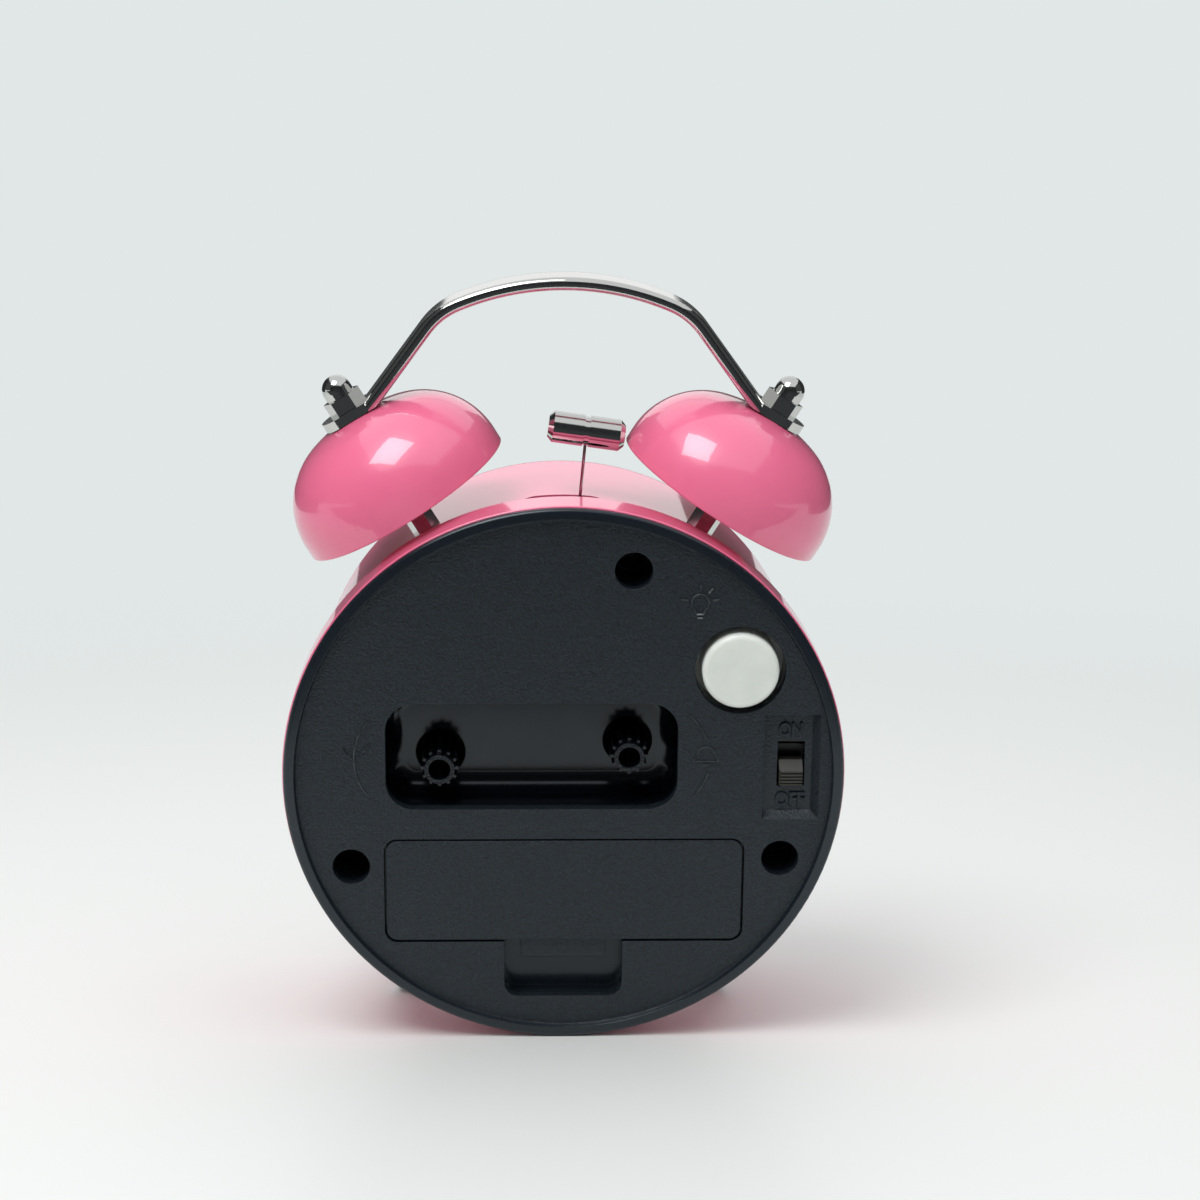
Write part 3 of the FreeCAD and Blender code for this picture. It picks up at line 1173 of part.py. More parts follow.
IN_Z0 = "slider_low - slider_foot - loose_gap"
IN_Z1 = NUB_Z1 + " + slider_foot + slider_travel + loose_gap"
switch_box = block(IN_X0 + " - switch_wall", IN_X1 + " + switch_wall", "-switch_rear",
                   "-switch_floor", IN_Z0 + " - switch_wall", IN_Z1 + " + switch_wall")
piece("switch_case", cut(switch_box, [block(IN_X0, IN_X1, "-switch_rear + switch_wall",
                                            "-switch_floor + 1", IN_Z0, IN_Z1)]))
piece("switch_contact", block("slider_x - 1", "slider_x + 1", "-switch_rear + switch_wall",
                              "-switch_rear + switch_wall + leaf_thick", IN_Z0, IN_Z1))

# Ringer: steel angle, core and coil, and the pin that carries the hammer.
wall_tools = []
for x, z in STANDOFFS:
    wall_tools.append(bar(x, z, "small_screw + hole_gap", WALL_FRONT + " - 1",
                          "-ringer_back + 1"))
wall_tools.append(bar("0", "hammer_pivot", "pin_radius + thread_gap", WALL_FRONT + " - 1",
                      "-ringer_back + 1"))
wall_tools.append(rod("Z", "core_x", HAMMER, "ringer_low - 1", "core_radius / 2 + thread_gap",
                      "ringer_sheet + 2"))
angle_piece = fuse([
    block("ringer_left", "ringer_right", WALL_FRONT, "-ringer_back", "ringer_low",
          "ringer_high"),
    block("core_x - coil_outer - 1.6", "ringer_right", "-ringer_back - 0.5", "-ringer_foot",
          "ringer_low", "ringer_low + ringer_sheet"),
])
piece("ringer_frame", cut(angle_piece, wall_tools))
piece("ringer_core", fuse([
    rod("Z", "core_x", HAMMER, "ringer_low + ringer_sheet", "core_radius",
        "core_top - ringer_low - ringer_sheet"),
    rod("Z", "core_x", HAMMER, "ringer_low", "core_radius / 2", "ringer_sheet + 0.5"),
]))
piece("ringer_coil", cut(
    rod("Z", "core_x", HAMMER, "ringer_low + ringer_sheet", "coil_outer",
        "coil_top - ringer_low - ringer_sheet"),
    [rod("Z", "core_x", HAMMER, "ringer_low", "core_radius + thread_gap",
         "coil_top - ringer_low + 1")]))
HUB_FRONT = HAMMER + " - hub_length / 2"
HUB_BACK = HAMMER + " + hub_length / 2"
piece("hammer_pin", fuse([
    bar("0", "hammer_pivot", "pin_radius", WALL_FRONT, HUB_BACK + " + loose_gap + 0.3"),
    bar("0", "hammer_pivot", "pin_head", HUB_BACK + " + loose_gap",
        HUB_BACK + " + loose_gap + 0.9"),
]))
piece("hammer_spring", wound("return_radius", "return_radius",
                             "(%s) + ringer_back - loose_gap - return_wire * 1.1" % HUB_FRONT,
                             4, "return_wire", "Y", "0", "-ringer_back + return_wire * 0.55",
                             "hammer_pivot"))

# Hammer, drawn in the middle of its swing and turned to its rest at one bell.
REST = FreeCAD.Placement(
    FreeCAD.Vector(), FreeCAD.Rotation(ABOUT_Y, -number("hammer_swing")),
    vector("0", "0", "hammer_pivot"))
WIRE_TILT = "atan2(wire_foot_x; head_z - wire_foot_z)"


def along_wire(radius, start, length):
    """Bar along the wire; start is measured from its clamp."""
    bar_piece = doc.addObject("Part::Cylinder", "AlongWire")
    bar_piece.setExpression("Radius", bind(radius))
    bar_piece.setExpression("Height", bind(length))
    tilt = math.atan2(-number("wire_foot_x"), number("head_z - wire_foot_z"))
    first = number(start)
    bar_piece.Placement = FreeCAD.Placement(
        FreeCAD.Vector(number("wire_foot_x") + first * math.sin(tilt), number(HAMMER),
                       number("wire_foot_z") + first * math.cos(tilt)),
        FreeCAD.Rotation(ABOUT_Y, math.degrees(tilt)))
    return bar_piece


ARM_FRONT = HAMMER + " - lever_thick / 2"
ARM_BACK = HAMMER + " + lever_thick / 2"
lever = fuse([
    bar("0", "hammer_pivot", "hub_radius", HUB_FRONT, HUB_BACK),
    block("-lever_half", "lever_half", ARM_FRONT, ARM_BACK, "hammer_pivot", "lever_top"),
    block("0", "armature_reach", HAMMER + " - armature_width / 2",
          HAMMER + " + armature_width / 2", "hammer_pivot - lever_thick / 2",
          "hammer_pivot + lever_thick / 2"),
    along_wire("clamp_radius", "-2", "4"),
])
piece("hammer_lever", cut(lever, [
    bar("0", "hammer_pivot", "pin_radius + pivot_gap", HUB_FRONT + " - 1", HUB_BACK + " + 1"),
    along_wire("wire_radius + thread_gap", "-1.5", "6"),
]), REST)
WIRE_LENGTH = "head_z - wire_foot_z + head_radius * 0.6 + 1.4"
piece("hammer_wire", along_wire("wire_radius", "-1.4", WIRE_LENGTH), REST)
head = turned([
    ("0", "-head_length / 2"),
    ("head_radius - head_chamfer", "-head_length / 2"),
    ("head_radius", "-head_length / 2 + head_chamfer"),
    ("head_radius", "-groove_half"),
    ("head_radius - groove_depth", "-groove_half"),
    ("head_radius - groove_depth", "groove_half"),
    ("head_radius", "groove_half"),
    ("head_radius", "head_length / 2 - head_chamfer"),
    ("head_radius - head_chamfer", "head_length / 2"),
    ("0", "head_length / 2"),
], "XZ_Plane")
head.Placement = FreeCAD.Placement(vector("0", HAMMER, "head_z"), ALONG["X"])
piece("hammer_head", cut(head, [along_wire("wire_radius + thread_gap", "1",
                                           WIRE_LENGTH + " - 2.3")]), REST)

# Bells on their posts, with the acorn nuts and the nuts inside the drum.
SHOULDER_X = "(bell_radius - bell_shoulder)"
CROWN = "(%s / sin(bell_turn) + bell_shoulder)" % SHOULDER_X
CROWN_Z = "(bell_distance + bell_skirt - %s / tan(bell_turn))" % SHOULDER_X
SEAT_Z = "(%s + sqrt(%s ^ 2 - bell_seat ^ 2))" % (CROWN_Z, CROWN)
INNER_X = "sqrt((%s - bell_wall) ^ 2 - (%s - bell_wall - %s) ^ 2)" % (CROWN, SEAT_Z, CROWN_Z)
SHOULDER_Z = "(bell_distance + bell_skirt)"
BELL_HOLE = "stud_radius + hole_gap"
TAB_Z = SEAT_Z
NUT_Z = SEAT_Z + " + tab_thick"
acorns = []
inner_nuts = []
for name, angle in (("left", "-bell_tilt"), ("right", "bell_tilt")):
    bell = turned([
        ("bell_radius - bell_wall", "bell_distance"),
        ("bell_radius", "bell_distance"),
        ("bell_radius", SHOULDER_Z, "bell_shoulder"),
        (SHOULDER_X + " + bell_shoulder * sin(bell_turn)",
         SHOULDER_Z + " + bell_shoulder * cos(bell_turn)", CROWN),
        ("bell_seat", SEAT_Z),
        (BELL_HOLE, SEAT_Z),
        (BELL_HOLE, SEAT_Z + " - bell_wall"),
        (INNER_X, SEAT_Z + " - bell_wall", "-(%s - bell_wall)" % CROWN),
        (SHOULDER_X + " + (bell_shoulder - bell_wall) * sin(bell_turn)",
         SHOULDER_Z + " + (bell_shoulder - bell_wall) * cos(bell_turn)",
         "-(bell_shoulder - bell_wall)"),
        ("bell_radius - bell_wall", SHOULDER_Z),
    ], "XZ_Plane")
    soften(bell, lambda edge: edge.BoundBox.ZLength < 0.001
           and abs(edge.BoundBox.ZMin - number("bell_distance")) < 0.001, "bell_edge")
    piece("bell_" + name, bell, spoke(BELLS, angle))
    post = fuse([
        hexagon("case_radius", "%s - bell_wall - case_radius" % SEAT_Z, "post_flats"),
        rod("Z", "0", "0", "case_radius - stud_inside", "stud_radius", "stud_inside + 1"),
        rod("Z", "0", "0", SEAT_Z + " - bell_wall - 1", "stud_radius", "stud_outside + 1"),
    ])
    piece("post_" + name, turn_to(post, BELLS, angle))
    acorn = cut(fuse([
        hexagon(NUT_Z, "acorn_hex", "acorn_flats"),
        rod("Z", "0", "0", NUT_Z, "acorn_dome", "acorn_centre"),
        ball("0", "0", NUT_Z + " + acorn_centre", "acorn_dome"),
    ]), [rod("Z", "0", "0", NUT_Z + " - 1", "stud_radius + thread_gap", "acorn_bore + 1")])
    acorns.append(turn_to(acorn, BELLS, angle))
piece("acorn_nuts", group(acorns))
NUT_TOP = "sqrt((case_radius - case_wall) ^ 2 - (nut_flats / 2 / cos(30)) ^ 2)"
for depth, angle in SPOKES:
    nut = cut(hexagon(NUT_TOP + " - nut_height", "nut_height", "nut_flats"),
              [rod("Z", "0", "0", NUT_TOP + " - nut_height - 1", "stud_radius + thread_gap",
                   "nut_height + 2")])
    inner_nuts.append(turn_to(nut, depth, angle))
piece("case_nuts", group(inner_nuts))

# Handle: one strip bent to an arch with straight legs, pressed tabs at both ends.
strip = doc.addObject("PartDesign::Body", "Strip")
MID_R = "arch_radius - handle_thick / 2"
MID_TOP = "arch_top - handle_thick / 2"
MID_BEND = "bend_radius - handle_thick / 2"
OUT_X = "(%s + tab_thick) * sin(bell_tilt) - tab_in * cos(bell_tilt)" % SEAT_Z
OUT_Z = "(%s + tab_thick) * cos(bell_tilt) + tab_in * sin(bell_tilt)" % SEAT_Z
END_X = OUT_X + " - handle_thick / 2 * sin(leg_angle) + 0.9 * cos(leg_angle)"
END_Z = OUT_Z + " - handle_thick / 2 * cos(leg_angle) - 0.9 * sin(leg_angle)"
slope = math.radians(number("leg_angle"))
end = FreeCAD.Vector(number(END_X), number(END_Z), 0)
run = FreeCAD.Vector(-math.cos(slope), math.sin(slope), 0)
inward = FreeCAD.Vector(-math.sin(slope), -math.cos(slope), 0)
arch_centre = FreeCAD.Vector(0, number(MID_TOP) - number(MID_R), 0)
offset = end.add(FreeCAD.Vector(inward).multiply(number(MID_BEND))).sub(arch_centre)
half_b = offset.dot(run)
reach = number(MID_R) - number(MID_BEND)
along = -half_b + math.sqrt(half_b ** 2 - offset.dot(offset) + reach ** 2)
low_point = end.add(FreeCAD.Vector(run).multiply(along))
bend_centre = low_point.add(FreeCAD.Vector(inward).multiply(number(MID_BEND)))
out = bend_centre.sub(arch_centre).normalize()
high_point = arch_centre.add(FreeCAD.Vector(out).multiply(number(MID_R)))
spine = strip.newObject("Sketcher::SketchObject", "Spine")
spine.AttachmentSupport = [(origin_of(strip, "XZ_Plane"), "")]
spine.MapMode = "FlatFace"
spine.addGeometry(curve(high_point, FreeCAD.Vector(0, number(MID_TOP), 0), number(MID_R)), False)
spine.addGeometry(curve(low_point, high_point, number(MID_BEND)), False)
spine.addGeometry(Part.LineSegment(low_point, end), False)
spine.addConstraint(Sketcher.Constraint("PointOnObject", 0, 3, -2))
spine.addConstraint(Sketcher.Constraint("PointOnObject", 0, 2, -2))
spine.addConstraint(Sketcher.Constraint("Tangent", 0, 1, 1, 2))
spine.addConstraint(Sketcher.Constraint("Tangent", 1, 1, 2, 1))
for kind, place, text in (("DistanceY", (0, 2), MID_TOP), ("DistanceX", (2, 2), END_X),
                          ("DistanceY", (2, 2), END_Z)):
    index = spine.addConstraint(
        Sketcher.Constraint(kind, -1, 1, place[0], place[1], number(text)))
    spine.setExpression("Constraints[%d]" % index, bind(text))
for which, text in ((0, MID_R), (1, MID_BEND)):
    index = spine.addConstraint(Sketcher.Constraint("Radius", which, number(text)))
    spine.setExpression("Constraints[%d]" % index, bind(text))
index = spine.addConstraint(Sketcher.Constraint("Angle", 2, -slope))
spine.setExpression("Constraints[%d]" % index, bind("-leg_angle"))
WIDE_0 = "-bell_station - handle_width / 2"
WIDE_1 = "-bell_station + handle_width / 2"
LOW = "arch_top - handle_thick"
section = outline(strip, "YZ_Plane", [
    (WIDE_0 + " + handle_round", LOW),
    (WIDE_1 + " - handle_round", LOW, "handle_round"),
    (WIDE_1, LOW + " + handle_round"),
    (WIDE_1, "arch_top - handle_round", "handle_round"),
    (WIDE_1 + " - handle_round", "arch_top"),
    (WIDE_0 + " + handle_round", "arch_top", "handle_round"),
    (WIDE_0, "arch_top - handle_round"),
    (WIDE_0, LOW + " + handle_round", "handle_round"),
])
pipe = strip.newObject("PartDesign::AdditivePipe", "Arch")
pipe.Profile = section
pipe.Spine = (spine, [])
both = strip.newObject("PartDesign::Mirrored", "Both")
both.Originals = [pipe]
both.MirrorPlane = (origin_of(strip, "YZ_Plane"), [""])
strip.Tip = both
tabs = [strip]
tools = []
for side, angle in ((1, "bell_tilt"), (-1, "-bell_tilt")):
    inner = "-tab_in" if side > 0 else "-(tab_out - handle_width / 2)"
    outer = "tab_out - handle_width / 2" if side > 0 else "tab_in"
    tab = fuse([
        block(inner, outer, "-handle_width / 2", "handle_width / 2", TAB_Z, NUT_Z),
        rod("Z", outer if side > 0 else inner, "0", TAB_Z, "handle_width / 2", "tab_thick"),
    ])
    tabs.append(turn_to(tab, BELLS, angle))
    below = group([block("-tab_in - 3" if side > 0 else "-1", "1" if side > 0 else "tab_in + 3",
                         "-handle_width / 2 - 1", "handle_width / 2 + 1", TAB_Z + " - 4",
                         TAB_Z)])
    tools.append(turn_to(below, BELLS, angle))
    hole = group([rod("Z", "0", "0", TAB_Z + " - 1", "stud_radius + hole_gap",
                      "tab_thick + 2")])
    tools.append(turn_to(hole, BELLS, angle))
piece("handle", cut(fuse(tabs), tools))

# Ball feet. Together with the lip they stand on one plane.
FLOOR = ("((lip_radius - lip_edge) * cos(lean_angle)"
         " - (lip_back + lip_edge) * sin(lean_angle) + lip_edge)")
BALL_Z = ("(%s + foot_station * sin(lean_angle) - foot_ball)"
          " / (cos(foot_angle) * cos(lean_angle))" % FLOOR)
for name, angle in (("left", "180 + foot_angle"), ("right", "180 - foot_angle")):
    foot = fuse([
        rod("Z", "0", "0", "case_radius - stud_inside", "stud_radius", "stud_inside + 1"),
        rod("Z", "0", "0", "case_radius", "foot_stem", "%s - case_radius" % BALL_Z),
        ball("0", "0", BALL_Z, "foot_ball"),
    ])
    piece("foot_" + name, turn_to(foot, FEET, angle))

# Small screws of the movement and the ringer.
screws = []
for x, z, seat in ((EARS[0][0], EARS[0][1], "-frame_back + ear_thick"),
                   (EARS[1][0], EARS[1][1], "-frame_back + ear_thick"),
                   (STANDOFFS[0][0], STANDOFFS[0][1], "-ringer_back"),
                   (STANDOFFS[1][0], STANDOFFS[1][1], "-ringer_back")):
    screws.append(fuse([
        bar(x, z, "small_screw", seat + " - small_length", seat + " + 0.5"),
        bar(x, z, "small_head", seat, seat + " + small_height"),
    ]))
piece("inner_screws", group(screws))

doc.recompute()
failed = [thing for thing in doc.Objects if "Invalid" in thing.State or "Error" in thing.State]
if failed:
    raise RuntimeError("failed: " + ", ".join(
        thing.Name + " (" + thing.getStatusString() + ")" for thing in failed))

# The whole clock is leant back and set down: the origin is under the middle of its box.
lean = FreeCAD.Placement(FreeCAD.Vector(), FreeCAD.Rotation(ABOUT_X, -number("lean_angle")))
for name, made, local in PARTS:
    if local is not None:
        made.Placement = local.multiply(made.Placement)
    made.Placement = lean.multiply(made.Placement)
doc.recompute()
whole = FreeCAD.BoundBox()
for name, made, local in PARTS:
    whole.add(made.Shape.optimalBoundingBox())
drop = FreeCAD.Placement(
    FreeCAD.Vector(0, -(whole.YMin + whole.YMax) / 2, -whole.ZMin), FreeCAD.Rotation())
for name, made, local in PARTS:
    made.Placement = drop.multiply(made.Placement)
    made.Label = name
doc.recompute()

os.makedirs("parts", exist_ok=True)
names = [entry[0] for entry in PARTS]
if len(names) != len(set(names)) or len(names) > 60:
    raise RuntimeError("piece names")
for name, made, local in PARTS:
    shape = made.Shape
    if shape.isNull() or not shape.isValid() or not shape.Solids:
        raise RuntimeError("bad shape: " + name)
    if made.Label != name:
        raise RuntimeError("label of " + name)
for name, made, local in PARTS:
    made.Shape.exportStep("parts/" + name + ".step")
    print("%-18s %d solid(s) %10.2f mm3" % (name, len(made.Shape.Solids), made.Shape.Volume))
print("box", whole.XLength, whole.YLength, whole.ZLength, "shift", drop.Base)
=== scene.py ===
# %% [markdown]
# # Twin bell alarm clock, seen from behind
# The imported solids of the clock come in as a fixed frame. This lesson dresses them: each
# surface gets a material that is built from what the real one is made of, and the fine
# things that a solid model leaves out, such as moulded marks, screw slots and the print on
# the dial, are modelled as pieces of their own.
# Everything is in metres. The working sizes are in millimetres, because that is how a
# clock maker would read them, and one factor turns them to metres.

# %% Load the frame
import json
import math

import bmesh
import bpy
from mathutils import Matrix, Vector

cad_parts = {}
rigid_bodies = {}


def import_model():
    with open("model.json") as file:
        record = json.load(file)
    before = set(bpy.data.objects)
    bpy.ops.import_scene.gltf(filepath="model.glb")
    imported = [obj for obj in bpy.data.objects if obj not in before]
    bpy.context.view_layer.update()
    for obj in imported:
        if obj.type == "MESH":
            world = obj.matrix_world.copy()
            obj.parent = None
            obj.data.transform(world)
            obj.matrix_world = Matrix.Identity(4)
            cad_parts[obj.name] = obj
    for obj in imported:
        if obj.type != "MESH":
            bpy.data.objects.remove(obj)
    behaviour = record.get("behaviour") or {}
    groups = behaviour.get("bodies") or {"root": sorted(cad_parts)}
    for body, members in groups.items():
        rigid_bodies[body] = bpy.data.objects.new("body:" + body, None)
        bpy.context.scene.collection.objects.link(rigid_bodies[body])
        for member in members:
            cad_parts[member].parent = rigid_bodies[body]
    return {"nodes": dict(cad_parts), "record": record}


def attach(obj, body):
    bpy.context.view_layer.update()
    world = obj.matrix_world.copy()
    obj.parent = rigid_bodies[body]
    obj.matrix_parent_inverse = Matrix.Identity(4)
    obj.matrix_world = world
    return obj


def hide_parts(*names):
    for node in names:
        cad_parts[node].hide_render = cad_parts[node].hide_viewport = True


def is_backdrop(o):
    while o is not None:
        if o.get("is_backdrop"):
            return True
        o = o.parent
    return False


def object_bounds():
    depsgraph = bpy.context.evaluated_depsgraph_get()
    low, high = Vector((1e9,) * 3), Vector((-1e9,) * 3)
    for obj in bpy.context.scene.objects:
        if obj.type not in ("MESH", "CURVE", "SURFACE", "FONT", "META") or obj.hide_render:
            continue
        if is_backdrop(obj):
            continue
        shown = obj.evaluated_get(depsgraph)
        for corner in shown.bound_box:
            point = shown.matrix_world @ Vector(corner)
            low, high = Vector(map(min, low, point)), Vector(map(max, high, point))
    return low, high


for thing in list(bpy.data.objects):
    bpy.data.objects.remove(thing, do_unlink=True)
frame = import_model()
cad_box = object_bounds()
MM = 0.001
record = frame["record"]

# %% [markdown]
# ## Where the drum is
# The clock leans back by eight degrees on its rear lip. Its drum has an axis, and nearly
# every piece is easiest to describe on that axis: how far right, how far up the disc, how
# far out of it. Two matrices give that view, one looking at the back cover and one looking
# at the dial. A piece is made flat in millimetres and then sent through one of them.

# %% Two working planes on the drum
LEAN = math.radians(8.0)
AXIS = Vector((0.0, 21.091, 43.682))
DRUM = (Matrix.Scale(MM, 4) @ Matrix.Translation(AXIS)
        @ Matrix.Rotation(-LEAN, 4, "X"))
REAR = DRUM @ Matrix(((-1, 0, 0, 0), (0, 0, 1, 0), (0, 1, 0, 0), (0, 0, 0, 1)))
DIAL = DRUM @ Matrix(((1, 0, 0, 0), (0, 0, -1, 0), (0, 1, 0, 0), (0, 0, 0, 1)))
print("rear plane origin", [round(x, 4) for x in REAR.translation])

# %% [markdown]
# ## The camera
# The photograph looks down at the back of the clock from a hand's height, so the camera
# stands behind it, about forty centimetres away, with a normal lens. The place and the two
# small turns were measured from the disc, whose edge is a true circle on the real clock.

# %% Place the camera
VIEW_TURN = math.radians(1.96)
VIEW_TILT = math.radians(16.75)
VIEW_SHIFT = Vector((-5.60, -28.16, -408.1))
LENS_MM, FILM_MM, NEAREST = 78.0, 36.0, 0.01
turn = Matrix.Rotation(VIEW_TURN, 3, "Y") @ Matrix.Rotation(VIEW_TILT, 3, "X")
eye = REAR @ -(turn.transposed() @ VIEW_SHIFT)
lens_data = bpy.data.cameras.new("Camera")
lens_data.lens = LENS_MM
lens_data.sensor_width = FILM_MM
lens_data.clip_start = NEAREST
camera = bpy.data.objects.new("Camera", lens_data)
bpy.context.scene.collection.objects.link(camera)
rear_axes = REAR.to_3x3() @ Matrix.Scale(1 / MM, 3)
camera.matrix_world = (Matrix.Translation(eye)
                       @ (rear_axes @ turn.transposed()).to_4x4())
bpy.context.scene.camera = camera
print("camera at", [round(x, 3) for x in eye])

# %% [markdown]
# ## Colours and nodes
# A colour read off a screen is an sRGB value, and a shader wants a linear one, so one
# function turns the first into the second. A second function adds a node to a material
# with its settings and its links, which keeps each material down to a few lines.


# %% Colour and node helpers
def linear(code):
    """The linear colour of an sRGB hex value."""
    parts = [int(code[i:i + 2], 16) / 255 for i in (1, 3, 5)]
    return tuple(p / 12.92 if p <= 0.04045 else ((p + 0.055) / 1.055) ** 2.4
                 for p in parts) + (1.0,)


def add_node(tree, kind, settings=None, links=None):
    """Adds a node, sets its values and joins the given sockets to its inputs."""
    made = tree.nodes.new(kind)
    for name, value in (settings or {}).items():
        if isinstance(name, str) and hasattr(made, name):
            setattr(made, name, value)
        else:
            made.inputs[name].default_value = value
    for name, source in (links or {}).items():
        tree.links.new(source, made.inputs[name])
    return made


def start_finish(name, settings):
    """A material with its shader set, and the object's own coordinates in millimetres."""
    made = bpy.data.materials.new(name)
    made.use_nodes = True
    tree = made.node_tree
    shader = tree.nodes["Principled BSDF"]
    for socket, value in settings.items():
        shader.inputs[socket].default_value = value
    place = add_node(tree, "ShaderNodeTexCoord")
    grid = add_node(tree, "ShaderNodeMapping", {"Scale": (1000, 1000, 1000)},
                    {"Vector": place.outputs["Object"]})
    return made, tree, shader, grid.outputs["Vector"]


print("pink enamel, linear:", [round(c, 3) for c in linear("#E8668F")])

# %% [markdown]
# ## The pink enamel
# The drum and the bells are pressed steel, sprayed and stoved. The paint is a gloss enamel:
# a strong pink body under a hard clear skin. Up close such paint has orange peel, a soft
# ripple a millimetre or two wide, and a faint cloudiness where the coat is thicker. The
# ripple is only a few microns deep, so it bends the reflections and hides elsewhere.

# %% Gloss enamel
pink, tree, shader, grid = start_finish("stoved_gloss_enamel_pink", {
    "Roughness": 0.3, "IOR": 1.5, "Coat Weight": 1.0, "Coat Roughness": 0.04,
    "Coat IOR": 1.5})
CLOUD_MM, PEEL_MM, PEEL_DEEP = 18.0, 1.6, 0.000006
cloud = add_node(tree, "ShaderNodeTexNoise", {"Scale": 1 / CLOUD_MM, "Detail": 3.0},
                 {"Vector": grid})
tone = add_node(tree, "ShaderNodeValToRGB", links={"Fac": cloud.outputs["Fac"]})
tone.color_ramp.elements[0].position = 0.35
tone.color_ramp.elements[0].color = linear("#EA6B90")
tone.color_ramp.elements[1].position = 0.65
tone.color_ramp.elements[1].color = linear("#EE7195")
tree.links.new(tone.outputs["Color"], shader.inputs["Base Color"])
peel = add_node(tree, "ShaderNodeTexNoise", {"Scale": 1 / PEEL_MM, "Detail": 1.0},
                {"Vector": grid})
ripple = add_node(tree, "ShaderNodeBump", {"Strength": 0.5, "Distance": PEEL_DEEP},
                  {"Height": peel.outputs["Fac"]})
tree.links.new(ripple.outputs["Normal"], shader.inputs["Normal"])
tree.links.new(ripple.outputs["Normal"], shader.inputs["Coat Normal"])
print("enamel:", pink.name)

# %% [markdown]
# ## Chrome
# Handle, nuts, posts, feet and hammer are steel with a bright chrome plating. Chrome has
# almost no colour of its own. What tells the eye that it is chrome is a sharp reflection of
# light and dark, with a slight waviness from the polishing wheel below the plating.

# %% Bright chrome
chrome, tree, shader, grid = start_finish("bright_chrome_plating", {
    "Base Color": linear("#C9C9C6"), "Metallic": 1.0})
SMEAR_MM, BUFF_MM, BUFF_DEEP = 3.0, 2.2, 0.00001
smear = add_node(tree, "ShaderNodeTexNoise", {"Scale": 1 / SMEAR_MM, "Detail": 4.0},
                 {"Vector": grid})
polish = add_node(tree, "ShaderNodeMapRange", {"To Min": 0.05, "To Max": 0.13},
                  {"Value": smear.outputs["Fac"]})
tree.links.new(polish.outputs["Result"], shader.inputs["Roughness"])
wave = add_node(tree, "ShaderNodeTexNoise", {"Scale": 1 / BUFF_MM, "Detail": 1.0},
                {"Vector": grid})
buff = add_node(tree, "ShaderNodeBump", {"Strength": 0.5, "Distance": BUFF_DEEP},
                {"Height": wave.outputs["Fac"]})
tree.links.new(buff.outputs["Normal"], shader.inputs["Normal"])
print("chrome:", chrome.name)

# %% [markdown]
# ## The black back cover
# The cover is injection moulded ABS. Its flat face comes from a spark eroded mould, which
# gives it a fine grain, while the bead round the edge is smooth, and the hollows below the
# plate come from polished steel and shine. One material does all three: it asks how far a
# point is from the back plane and from the axis, and fades the grain out where the mould
# was polished. The grain tips are rubbed a little paler than the pits, so the same noise
# drives both the bump and the tone. No moulded edge is quite sharp, so the edges take the
# light over a fifth of a millimetre. The dye leans to blue, and the sheen a little too.
# The real grain is about 0.15 mm, which one pixel can't show, so it is drawn at 0.36 mm.

# %% Grained and polished ABS
GRAIN_MM, GRAIN_DEEP, MOTTLE_MM, ARRIS_MM = 0.36, 0.0001, 6.0, 0.22
POLISHED_UNDER, GRAINED_OVER = -2.0, -0.8
GRAINED_WITHIN, BEAD_BEYOND = 41.9, 42.2
COOL = linear("#EAF2FA")


def on_the_drum(tree, grid):
    """Sockets for a place on the drum: X to the side, Y out of the back, Z up the disc."""
    local = add_node(tree, "ShaderNodeMapping", {
        "vector_type": "TEXTURE", "Location": AXIS, "Rotation": (-LEAN, 0, 0)},
        {"Vector": grid})
    part = add_node(tree, "ShaderNodeSeparateXYZ", links={"Vector": local.outputs["Vector"]})
    return part.outputs


